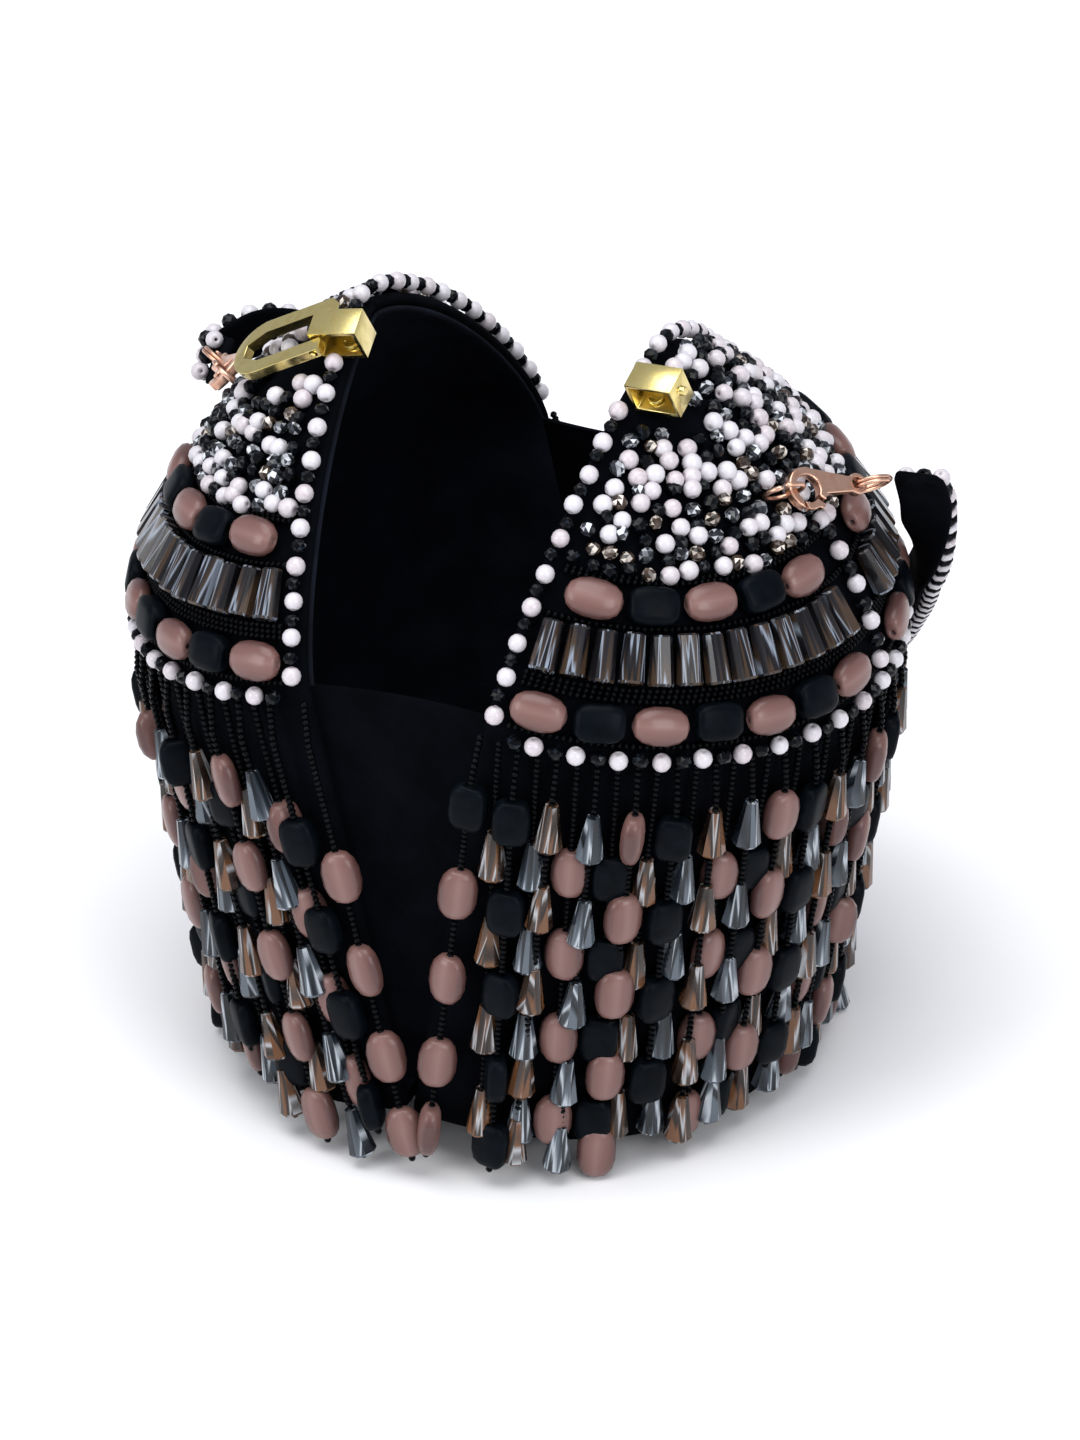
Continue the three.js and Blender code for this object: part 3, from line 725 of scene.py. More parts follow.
@dataclass
class BeadShapes:
    """Shapes of the beads along x, the narrow end towards +x; profiles are radius and place along x."""

    round_radius: float = 2.1
    hole: float = 0.42
    round_sides: int = 12
    round_levels: int = 7
    cut_profile: Profile = ((0.5, 1.7), (1.4, 1.4), (2.02, 0.5), (2.02, -0.5), (1.4, -1.4), (0.5, -1.7))
    cut_sides: int = 7
    pink: Oval = Oval((12.6, 8.8, 5.1), 2.35, 2.4)
    slate: Oval = Oval((11.4, 8.6, 4.7), 3.2, 4.2)
    oval_hole: float = 0.13
    oval_thinning: float = 0.75
    oval_sides: int = 12
    oval_levels: int = 8
    crystal_section: Profile = ((0.27, 1), (0.45, 0.45), (0.5, -0.3), (0.3, -1))
    crystal_levels: tuple[tuple[float, float, float], ...] = (
        (-5.65, 5.3, 2.0),
        (-5.1, 5.9, 2.35),
        (5.2, 4.7, 1.75),
        (5.65, 4.0, 1.4),
    )
    drop_profile: Profile = ((0.5, 5.6), (1.45, 5.45), (3.25, -5.0), (2.9, -5.6), (0.6, -5.7))
    drop_sides: int = 9
    disc_profile: Profile = ((1.35, 1.0), (2.1, 0.45), (2.1, -0.45), (1.35, -1.0), (0.45, 0.0))
    disc_sides: int = 8
    seed_profile: Profile = ((0.616, 0.6), (0.88, 0.0), (0.616, -0.6), (0.3, 0.0))
    seed_sides: int = 6

    def turned(self, profile: Sequence[tuple[float, float]], sides: int, smooth: bool) -> Shape:
        """Turn a closed profile about x, with round faces or facets."""
        turns = circle(sides)
        rings = [[Vector((x, r * math.cos(t), r * math.sin(t))) for t in turns] for r, x in profile]
        return rounded(loft(rings, closed=True), smooth)

    def round_bead(self) -> Shape:
        """Pressed round bead with its hole."""
        low = math.asin(self.hole / self.round_radius)
        radius = self.round_radius
        turns = evenly(low, math.pi - low, self.round_levels - 1)
        profile = [(radius * math.sin(turn), radius * math.cos(turn)) for turn in turns]
        return self.turned(profile, self.round_sides, smooth=True)

    def cut_bead(self) -> Shape:
        """Round bead cut in rows of three-cornered facets, each row half a facet further round."""
        shape = bmesh.new()
        rings = []
        for level, (radius, x) in enumerate(self.cut_profile):
            turns = circle(self.cut_sides, 0.5 * (level % 2))
            rings.append([shape.verts.new((x, radius * math.cos(t), radius * math.sin(t))) for t in turns])
        for level, low in enumerate(rings):
            high = rings[(level + 1) % len(rings)]
            for index in range(self.cut_sides):
                after = (index + 1) % self.cut_sides
                if level % 2:
                    shape.faces.new((low[index], high[after], high[index]))
                    shape.faces.new((low[index], low[after], high[after]))
                else:
                    shape.faces.new((low[index], low[after], high[index]))
                    shape.faces.new((low[after], high[after], high[index]))
        bmesh.ops.recalc_face_normals(shape, faces=shape.faces)
        return shape

    def oval(self, kind: Oval) -> Shape:
        """Flat oval bead; higher powers make its outline squarer and its faces flatter."""
        half_length, half_width, half_thick = [value / 2 for value in kind.size]
        rings = []
        for turn in evenly(self.oval_hole, math.pi - self.oval_hole, self.oval_levels - 1):
            x = half_length * signed_power(math.cos(turn), 2 / kind.outline)
            wide = math.sin(turn) ** (2 / kind.outline)
            ring = []
            for angle in circle(self.oval_sides, 0.5):
                y = half_width * wide * signed_power(math.cos(angle), 2 / kind.puff)
                z = half_thick * wide**self.oval_thinning * signed_power(math.sin(angle), 2 / kind.puff)
                ring.append(Vector((x, y, z)))
            rings.append(ring)
        return rounded(loft(rings, closed=True))

    def band_crystal(self) -> Shape:
        """Tapered crystal with a broad flat front, as sewn in the bands."""
        section = list(self.crystal_section) + [(-y, z) for y, z in reversed(self.crystal_section)]
        rings = []
        for x, wide, deep in self.crystal_levels:
            rings.append([Vector((x, wide * y, deep * z)) for y, z in section])
        return loft(rings, closed=False, capped=True)

    def drop(self) -> Shape:
        """Tapered drop of the fringe."""
        return self.turned(self.drop_profile, self.drop_sides, smooth=False)

    def disc(self) -> Shape:
        """Thin round bead of the strap's strings."""
        return self.turned(self.disc_profile, self.disc_sides, smooth=True)

    def seed(self) -> Shape:
        """Seed bead of the threads and couched rows."""
        return self.turned(self.seed_profile, self.seed_sides, smooth=True)


class BeadBox:
    """Holds one of each bead and the node trees that sew them on."""

    seed_pitch: float = 1.4
    seed_sizes: tuple[float, float] = (0.9, 1.05)

    def __init__(self, shapes: BeadShapes) -> None:
        """Make the beads of these shapes, and the trees."""
        self.chance = Chance(SEED)
        makers: dict[Bead, tuple[Callable[[], Shape], Finish]] = {
            Bead.WHITE: (shapes.round_bead, WHITE_GLASS),
            Bead.BLACK: (shapes.cut_bead, BLACK_GLASS),
            Bead.SMOKE: (shapes.cut_bead, SMOKE_GLASS),
            Bead.CHAMPAGNE: (shapes.cut_bead, CHAMPAGNE_GLASS),
            Bead.PINK: (lambda: shapes.oval(shapes.pink), PINK_GLASS),
            Bead.SLATE: (lambda: shapes.oval(shapes.slate), SLATE_GLASS),
            Bead.BAND_CRYSTAL: (shapes.band_crystal, BAND_GLASS),
            Bead.CLEAR_DROP: (shapes.drop, CLEAR_GLASS),
            Bead.AMBER_DROP: (shapes.drop, AMBER_GLASS),
            Bead.WHITE_DISC: (shapes.disc, WHITE_GLASS),
            Bead.BLACK_DISC: (shapes.disc, SEED_GLASS),
        }
        self.samples = [
            (kind, self.sample(kind.name, make()), glass) for kind, (make, glass) in makers.items()
        ]
        self.seed_sample = self.sample("SEED", shapes.seed())
        self.points_tree = self.sewing_tree()
        self.thread_tree = self.stringing_tree()

    def sample(self, name: str, shape: Shape) -> Piece:
        """Keep one bead, in metres, with what its material reads from its shape."""
        facet = shape.faces.layers.float.new("facet")
        across = shape.verts.layers.float.new("across")
        along = shape.verts.layers.float.new("along")
        reach = max(abs(vertex.co.x) for vertex in shape.verts)
        width = max(abs(vertex.co.y) for vertex in shape.verts)
        for face in shape.faces:
            face[facet] = self.chance.random()
        for vertex in shape.verts:
            vertex[across] = vertex.co.y / width
            vertex[along] = vertex.co.x / reach
            vertex.co *= MM
        return new_piece(to_mesh(shape, f"sample_{name}"), f"sample_{name}")

    def start_tree(self, name: str, sizes: dict[str, float]) -> tuple[Tree, dict[str, Socket]]:
        """Start a node tree.

        Args:
            name: Name of the tree.
            sizes: Named inputs with their usual values.

        Returns:
            The tree and its inputs by name.
        """
        tree = bpy.data.node_groups.new(name, "GeometryNodeTree")
        tree.interface.new_socket("Geometry", in_out="INPUT", socket_type="NodeSocketGeometry")
        for label, value in sizes.items():
            socket = tree.interface.new_socket(label, in_out="INPUT", socket_type="NodeSocketFloat")
            socket.default_value = value
        seed = tree.interface.new_socket("Seed", in_out="INPUT", socket_type="NodeSocketInt")
        seed.default_value = SEED
        tree.interface.new_socket("Geometry", in_out="OUTPUT", socket_type="NodeSocketGeometry")
        first = add_node(tree, "NodeGroupInput")
        return tree, {output.name: output for output in first.node.outputs if output.name}

    def put_on(
        self, tree: Tree, seed: Socket, sample: Piece, glass: Finish, places: dict[str, Socket]
    ) -> Socket:
        """Put beads on their places, give each a tone of its own and make them real.

        Args:
            tree: Tree that sews the beads on.
            seed: Seed of the tones.
            sample: The bead.
            glass: Its finish.
            places: Points, and the turns and sizes of the beads there.

        Returns:
            The real beads.
        """
        source = {"Object": sample, "As Instance": True}
        shape = add_node(tree, "GeometryNodeObjectInfo", source, "Geometry")
        beads = add_node(tree, "GeometryNodeInstanceOnPoints", {"Instance": shape, **places})
        tone = add_node(tree, "FunctionNodeRandomValue", {"Seed": seed}, "Value", data_type="FLOAT")
        values = {"Geometry": beads, "Name": "bead_tone", "Value": tone}
        kind = "GeometryNodeStoreNamedAttribute"
        toned = add_node(tree, kind, values, data_type="FLOAT", domain="INSTANCE")
        real = add_node(tree, "GeometryNodeRealizeInstances", {"Geometry": toned})
        return add_node(tree, "GeometryNodeSetMaterial", {"Geometry": real, "Material": glass.material()})

    def sewing_tree(self) -> Tree:
        """Tree that puts a bead of the right kind on every point."""
        tree, source = self.start_tree("beads_on_points", {"Bead scale": 1.0})
        kind, turn, grow = [
            add_node(tree, "GeometryNodeInputNamedAttribute", {"Name": name}, "Attribute", data_type=data)
            for name, data in SPOT_DATA
        ]
        rotation = add_node(tree, "FunctionNodeEulerToRotation", {"Euler": turn})
        scale = add_node(tree, "ShaderNodeMath", {0: grow, 1: source["Bead scale"]}, operation="MULTIPLY")
        joined = add_node(tree, "GeometryNodeJoinGeometry")
        for bead, sample, glass in self.samples:
            how = {"data_type": "INT", "operation": "EQUAL"}
            chosen = add_node(tree, "FunctionNodeCompare", {2: kind, 3: bead.value}, "Result", **how)
            places = {"Points": source["Geometry"], "Selection": chosen}
            places |= {"Rotation": rotation, "Scale": scale}
            beads = self.put_on(tree, source["Seed"], sample, glass, places)
            tree.links.new(beads, joined.node.inputs["Geometry"])
        add_node(tree, "NodeGroupOutput", {"Geometry": joined})
        return tree

    def stringing_tree(self) -> Tree:
        """Tree that strings seed beads along every thread."""
        least, most = self.seed_sizes
        sizes = {"Seed pitch": self.seed_pitch * MM, "Least size": least}
        tree, source = self.start_tree("seeds_on_threads", sizes)
        threads = add_node(tree, "GeometryNodeMeshToCurve", {"Mesh": source["Geometry"]})
        spacing = {"Curve": threads, "Length": source["Seed pitch"]}
        spaced = add_node(tree, "GeometryNodeResampleCurve", spacing, mode="LENGTH")
        tangent = add_node(tree, "GeometryNodeInputTangent")
        aligned = add_node(tree, "FunctionNodeAlignRotationToVector", {"Vector": tangent}, axis="X")
        limits = {2: source["Least size"], 3: most, "Seed": source["Seed"]}
        size = add_node(tree, "FunctionNodeRandomValue", limits, 1, data_type="FLOAT")
        places = {"Points": spaced, "Rotation": aligned, "Scale": size}
        seeds = self.put_on(tree, source["Seed"], self.seed_sample, SEED_GLASS, places)
        add_node(tree, "NodeGroupOutput", {"Geometry": seeds})
        return tree

    def run(self, mesh: Mesh, name: str, tree: Tree, values: dict[str, float]) -> Piece:
        """Run a tree on a mesh.

        Args:
            mesh: Points or threads.
            name: Name of the piece.
            tree: Tree to run.
            values: Named inputs that differ from the tree's own.

        Returns:
            The finished object, a plain mesh.
        """
        holder = new_piece(mesh, f"{name}_places")
        modifier = holder.modifiers.new(tree.name, "NODES")
        modifier.node_group = tree
        for item in tree.interface.items_tree:
            if item.in_out == "INPUT" and item.name in values:
                modifier[item.identifier] = values[item.name]
        return new_piece(settle(holder), name)

    def sew(self, name: str, spots: Sequence[Spot]) -> Piece:
        """Put beads on their spots, as one piece with this name."""
        mesh = bpy.data.meshes.new(name)
        mesh.from_pydata([spot.frame.translation for spot in spots], [], [])
        for label, kind in SPOT_DATA:
            mesh.attributes.new(label, kind, "POINT")
        turns = [angle for spot in spots for angle in spot.frame.to_euler()]
        mesh.attributes["kind"].data.foreach_set("value", [spot.kind.value for spot in spots])
        mesh.attributes["turn"].data.foreach_set("vector", turns)
        mesh.attributes["grow"].data.foreach_set("value", [spot.size for spot in spots])
        return self.run(mesh, name, self.points_tree, {})

    def string(self, name: str, threads: Sequence[Sequence[Vector]], pitch: float) -> Piece:
        """String seed beads on threads.

        Args:
            name: Name of the piece.
            threads: Points of each thread, in metres.
            pitch: Distance from seed to seed.

        Returns:
            The seeds as one piece.
        """
        points = []
        edges = []
        for thread in threads:
            first = len(points)
            points.extend(thread)
            edges.extend((index, index + 1) for index in range(first, len(points) - 1))
        mesh = bpy.data.meshes.new(name)
        mesh.from_pydata(points, edges, [])
        return self.run(mesh, name, self.thread_tree, {"Seed pitch": pitch * MM})

    def put_away(self) -> None:
        """Delete the samples once every bead is sewn on."""
        for sample in [item[1] for item in self.samples] + [self.seed_sample]:
            bpy.data.objects.remove(sample)


# Velvet


@dataclass
class VelvetHalf:
    """Velvet-covered board of one half: outer cover with a rolled rim, and the lining inside it."""

    half: Half
    split: float = 0.4
    thick: float = 2.6
    roll: float = 1.1
    roll_share: float = 0.28
    lining_gap: float = 0.3
    lining_thick: float = 1.2
    lining_roll: float = 0.5
    columns: int = 56
    base_rows: int = 8
    base_middle: float = 0.02
    wall_rows: int = 14
    dome_rows: int = 26
    dome_crowding: float = 1.3
    dome_end: float = 0.997
    least_radius: float = 0.9
    weld: float = 0.01

    def levels(self, inset: float) -> list[tuple[float, float, float]]:
        """Levels of a surface from the middle of its base to its apex.

        Args:
            inset: Depth of the surface under the outer cover.

        Returns:
            Radius along x, radius along y and height of each level.
        """
        form = self.half.form
        rows = []
        wide = form.half_width - inset
        deep = form.half_depth - inset
        for index in range(self.base_rows):
            share = self.base_middle + (1 - self.base_middle) * index / self.base_rows
            rows.append((share * wide, share * deep, inset))
        for index in range(self.wall_rows):
            rows.append((wide, deep, inset + (form.wall_height - inset) * index / self.wall_rows))
        for index in range(self.dome_rows + 1):
            share = 1 - (1 - index / self.dome_rows) ** self.dome_crowding
            arc = form.apex * share * self.dome_end
            side = form.point(math.pi / 2, arc, -inset)
            front = form.point(0.0, arc, -inset)
            rows.append((max(side.x, self.least_radius), max(-front.y, self.least_radius), side.z))
        return rows

    def surface(self, inset: float, from_x: float) -> list[list[Vector]]:
        """Points of a surface under the cover, cut off at the split.

        Args:
            inset: Depth of the surface under the outer cover.
            from_x: Distance of its edge from the split plane.

        Returns:
            Rows of points from the front edge to the back one.
        """
        rows = []
        for wide, deep, height in self.levels(inset):
            edge = math.asin(from_x / wide) if wide > from_x else math.pi / 2
            row = []
            for turn in evenly(edge, math.pi - edge, self.columns):
                row.append(Vector((max(wide * math.sin(turn), from_x), -deep * math.cos(turn), height)))
            rows.append(row)
        return rows

    def skin(self, outer: float, inner: float, roll: float, name: str) -> Mesh:
        """Close two surfaces into a thin wall with a rolled edge.

        Args:
            outer: Depth of the wall's outer face under the cover.
            inner: Depth of its inner face.
            roll: Radius of the rolled edge.
            name: Name of the mesh.

        Returns:
            The wall, placed.
        """
        rolled = (roll, self.roll_share * roll, 0.0, self.roll_share * roll, roll)
        insets = evenly(outer, inner, len(rolled) - 1)
        layers = [self.surface(inset, self.split + back) for inset, back in zip(insets, rolled)]
        top = len(layers[0]) - 1
        shape = bmesh.new()
        grids = []
        for layer, rows in enumerate(layers):
            whole = layer in (0, len(layers) - 1)
            grid = {}
            for level, row in enumerate(rows):
                used = range(self.columns + 1) if whole or level in (0, top) else (0, self.columns)
                for column in used:
                    grid[level, column] = shape.verts.new(row[column])
            grids.append(grid)
        for grid in (grids[0], grids[-1]):
            for low in range(top):
                for left in range(self.columns):
                    corners = [(low, left), (low, left + 1), (low + 1, left + 1), (low + 1, left)]
                    shape.faces.new([grid[corner] for corner in corners])
        # The edge runs up the front, over the apex, down the back and along the base
        loop = [(level, 0) for level in range(top + 1)]
        loop += [(top, column) for column in range(1, self.columns)]
        loop += [(level, self.columns) for level in range(top, -1, -1)]
        loop += [(0, column) for column in range(self.columns - 1, 0, -1)]
        for low, high in zip(grids, grids[1:]):
            for here, after in zip(loop, loop[1:] + loop[:1]):
                shape.faces.new((low[here], low[after], high[after], high[here]))
        bmesh.ops.remove_doubles(shape, verts=shape.verts, dist=self.weld)
        bmesh.ops.recalc_face_normals(shape, faces=shape.faces)
        self.half.carry_mesh(rounded(shape))
        return to_mesh(shape, name)

    def build(self) -> None:
        """Make the cover and the lining."""
        cover = self.skin(0.0, self.thick, self.roll, self.half.name("velvet_cover"))
        dress(cover, VELVET, "velvet", self.half.name("shell"))
        outer = self.thick + self.lining_gap
        inner = outer + self.lining_thick
        lining = self.skin(outer, inner, self.lining_roll, self.half.name("velvet_lining"))
        # Its velvet is painted lighter than the cover's, as painted fill light for the shaded inside
        dress(lining, LINING_PAINTED_LIGHTER, "velvet", self.half.name("lining"))


@dataclass
class Gusset:
    """Velvet panel that closes the V at its front or back, pulled tight between the halves."""

    form: BagForm
    hinge: Vector
    end: str
    top: float = 102.0
    foot: float = 7.0
    thick: float = 1.2
    single: float = 0.8
    inset: float = 3.1
    tuck: float = 1.8
    bow: float = 2.2
    hem: float = 3.0
    rows: int = 24
    columns: int = 14
    crease: float = math.radians(50)

    def reach(self, height: float) -> float:
        """Half the panel's width at a height, with what is tucked in behind the rim."""
        return height * math.tan(self.form.tilt) + self.tuck

    def faces(self) -> list[list[Vector]]:
        """Rows of points up the panel's outer face and down its inner one, thicker at the turned hem."""
        outwards = -1.0 if self.end == "front" else 1.0
        y = outwards * (self.form.half_depth - self.inset)
        rows = []
        for face in (1.0, -1.0):
            for step in range(self.rows + 1):
                share = step / self.rows if face > 0 else 1 - step / self.rows
                height = self.foot + (self.top - self.foot) * share
                half = self.thick / 2 if height > self.top - self.hem else self.single * self.thick / 2
                row = []
                for across in evenly(-1.0, 1.0, self.columns):
                    sunk = self.bow * share * (1 - across * across)
                    depth = y - outwards * sunk + outwards * face * half
                    row.append(Vector((across * self.reach(height), depth, height)))
                rows.append(row)
        return rows

    def build(self) -> None:
        shape = bmesh.new()
        made = [[shape.verts.new((point + self.hinge) * MM) for point in row] for row in self.faces()]
        for low, high in zip(made, made[1:] + made[:1]):
            for index in range(self.columns):
                shape.faces.new((low[index], low[index + 1], high[index + 1], high[index]))
        for row in range(self.rows):
            back = len(made) - 1 - row
            for side in (0, self.columns):
                shape.faces.new([made[level][side] for level in (row, row + 1, back - 1, back)])
        bmesh.ops.recalc_face_normals(shape, faces=shape.faces)
        mesh = to_mesh(rounded(shape), f"velvet_gusset_{self.end}")
        mesh.set_sharp_from_angle(angle=self.crease)
        piece = dress(mesh, VELVET, "velvet", f"gusset_{self.end}")
        width = 2 * self.reach(self.top)
        length = self.top - self.foot
        area = (self.reach(self.top) + self.reach(self.foot)) * length


@dataclass
class HingeStrip:
    """Velvet strip glued over the hinge line, a flap on each half's floor."""

    form: BagForm
    hinge: Vector
    reach: float = 9.0
    flat_share: float = 2.2
    length: float = 123.0
    thick: float = 1.2
    foot: float = 4.7
    rows: int = 60
    steps: int = 8
    edge_from: float = 0.93
    edge_drop: float = 0.35
    fold: float = 6.0

    def section(self) -> list[tuple[float, float]]:
        """Outline of the strip's section with rounded flaps, as x and height over the hinge line."""
        sine = math.sin(self.form.tilt)
        cosine = math.cos(self.form.tilt)
        outline = []
        for face, level in ((1, self.foot + self.thick), (-1, self.foot)):
            for step in range(-self.steps, self.steps + 1):
                along = face * step / self.steps
                out = self.reach * abs(along)
                edge = max(0.0, abs(along) - self.edge_from) / (1 - self.edge_from)
                height = level - face * self.edge_drop * self.thick * edge
                x = math.copysign(out * cosine + height * sine * min(1.0, self.fold * abs(along)), along)
                outline.append((x, height * cosine - out * sine + (1 - cosine) * height))
        return outline

    def build(self) -> None:
        section = self.section()
        rings = []
        for y in evenly(-self.length / 2, self.length / 2, self.rows):
            rings.append([(Vector((x, y, z)) + self.hinge) * MM for x, z in section])
        shape = loft(rings, closed=False, capped=True)
        # The two cut ends stay flat
        for face in shape.faces:
            face.smooth = len(face.verts) < len(section)
        piece = dress(to_mesh(shape, "velvet_hinge_strip"), VELVET, "velvet", "hinge_strip")


# Beadwork of a half


@dataclass
class ClaspRoom:
    """Room that the field of beads leaves for the clasp, the hasp and the strap's ring."""

    boxes: list[tuple[Matrix, Vector, Vector]]
    margin: float = 1.4

    def is_free(self, point: Vector) -> bool:
        """Whether a bead may sit here."""
        for local, low, high in self.boxes:
            inside = local.inverted() @ point
            if all(low[i] - self.margin < inside[i] < high[i] + self.margin for i in range(3)):
                return False
        return True


@dataclass
class Beadwork:
    """Beads of one half, from the shared box."""

    half: Half
    box: BeadBox

    def sew(self, piece: str, spots: Sequence[Spot], slot: str, node: str) -> None:
        """Sew beads on as one piece, in place of one of the half's solids."""
        beads = self.box.sew(self.half.name(piece), spots)
        hand_over(beads, slot, self.half.name(node))


@dataclass
class DomeField(Beadwork):
    """Field of round beads over the upper dome, white and black with a few smoky and champagne ones."""

    room: ClaspRoom
    first: float = 39.2
    last: float = 92.5
    row_step: float = 3.5
    pitch: float = 4.1
    edge: float = 7.2
    lift: float = 1.9
    lift_stray: float = 0.4
    stray: float = 0.9
    white_sizes: tuple[float, float] = (0.96, 1.08)
    dark_sizes: tuple[float, float] = (0.78, 0.96)
    shares: tuple[tuple[Bead, float], ...] = (
        (Bead.WHITE, 0.38),
        (Bead.BLACK, 0.35),
        (Bead.SMOKE, 0.18),
        (Bead.CHAMPAGNE, 0.09),
    )

    def build(self) -> None:
        """Sew the field on."""
        form = self.half.form
        chance = self.half.chance("dome")
        kinds, weights = zip(*self.shares)
        spots = []
        rows = int((self.last - self.first) / self.row_step)
        for row in range(rows + 1):
            arc = self.first + row * self.row_step
            radius = form.row_radius(math.pi / 4, arc)
            if radius <= self.edge:
                continue
            start = math.asin(self.edge / radius)
            count = max(1, round((math.pi - 2 * start) * radius / self.pitch))
            for index in range(count + 1):
                shift = 0.5 * (row % 2) if index < count else 0.0
                azimuth = start + (math.pi - 2 * start) * (index + shift) / count
                azimuth += chance.stray(self.stray) / radius
                level = arc + chance.stray(self.stray)
                place = form.frame(azimuth, level, self.lift + chance.stray(self.lift_stray))
                if not self.room.is_free(place.translation):
                    continue
                place = turned_about(place, chance.uniform(0, math.pi), "Z")
                kind = chance.choices(kinds, weights)[0]
                size = chance.uniform(*(self.white_sizes if kind is Bead.WHITE else self.dark_sizes))
                spots.append(Spot(kind, self.half.place(place), size))
        self.sew("dome_field", spots, "round_beads", "dome_beads")


@dataclass(frozen=True)
class Setting:
    """How a kind of stone is sewn on: its lift, turn and lean, and how far hand work strays from them."""

    slot: str
    lift: float
    turn: float
    lean: float
    lean_axis: str
    level_stray: float
    turn_stray: float
    lean_stray: float
    sizes: tuple[float, float]


OVALS = Setting("oval_beads", 2.9, 0.0, 0.0, "X", 0.4, 0.12, 0.1, (0.98, 1.02))
CRYSTALS = Setting("crystals", 2.75, math.pi / 2, math.radians(3.3), "Y", 0.2, 0.05, 0.03, (0.97, 1.02))


@dataclass
class Band:
    """One row of stones round a gore: its level, how many stones it has and their distance apart."""

    piece: str
    node: str
    level: float
    count: int
    pitch: float
    setting: Setting


@dataclass
class StoneBands(Beadwork):
    """Bands of ovals and crystals, one of each to a gore, with couched seed rows between them."""

    bands: tuple[Band, ...] = (
        Band("lower_oval_row", "lower_ovals", 7.0, 7, 12.8, OVALS),
        Band("crystal_row", "crystals", 20.6, 13, 6.0, CRYSTALS),
        Band("upper_oval_row", "upper_ovals", 32.2, 5, 12.5, OVALS),
    )
    gores: tuple[tuple[str, float], ...] = (("front", math.pi / 4), ("back", 3 * math.pi / 4))
    seed_levels: tuple[float, ...] = (2.2, 11.7, 12.9, 14.1, 27.2, 36.9, 37.9)
    seed_lift: float = 0.9
    seed_edge: float = 6.0
    seed_pitch: float = 1.5
    seed_steps: int = 60

    def azimuth(self, band: Band, middle: float, distance: float) -> float:
        """Azimuth of a stone by its distance from the gore's middle."""
        form = self.half.form
        guess = distance / form.row_radius(middle, band.level)
        return middle + distance / form.row_radius(middle + guess / 2, band.level)

    def spot(self, band: Band, middle: float, index: int, chance: Chance) -> Spot:
        """Place one stone of a band.

        Args:
            band: The band.
            middle: Azimuth of the gore's middle.
            index: Which stone of the band.
            chance: Source of irregularities.

        Returns:
            The stone's spot.
        """
        how = band.setting
        azimuth = self.azimuth(band, middle, (index - (band.count - 1) / 2) * band.pitch)
        local = self.half.form.frame(azimuth, band.level + chance.stray(how.level_stray), how.lift)
        local = turned_about(local, how.turn + chance.stray(how.turn_stray), "Z")
        local = turned_about(local, how.lean + chance.stray(how.lean_stray), how.lean_axis)
        place = self.half.place(local)
        kind = Bead.SLATE if index % 2 else Bead.PINK
        if how is CRYSTALS:
            kind = Bead.BAND_CRYSTAL
            # A half turn keeps the narrow end up on the mirrored half
            place = turned_about(place, math.pi, "Z") if self.half.side is Side.LEFT else place
        return Spot(kind, place, chance.uniform(*how.sizes))

    def build(self) -> None:
        """Sew the bands and the seed rows on."""
        form = self.half.form
        chance = self.half.chance("bands")
        for band in self.bands:
            for gore, middle in self.gores:
                spots = [self.spot(band, middle, index, chance) for index in range(band.count)]
                self.sew(f"{band.piece}_{gore}", spots, band.setting.slot, f"{band.node}_{gore}")
        threads = []
        for level in self.seed_levels:
            edge = math.asin(self.seed_edge / form.row_radius(0.0, level))
            turns = evenly(edge, math.pi - edge, self.seed_steps)
            threads.append([self.half.carry(form.point(turn, level, self.seed_lift)) for turn in turns])
        seeds = self.box.string(self.half.name("couched_seed_rows"), threads, self.seed_pitch)
        hand_over(seeds, "round_beads")


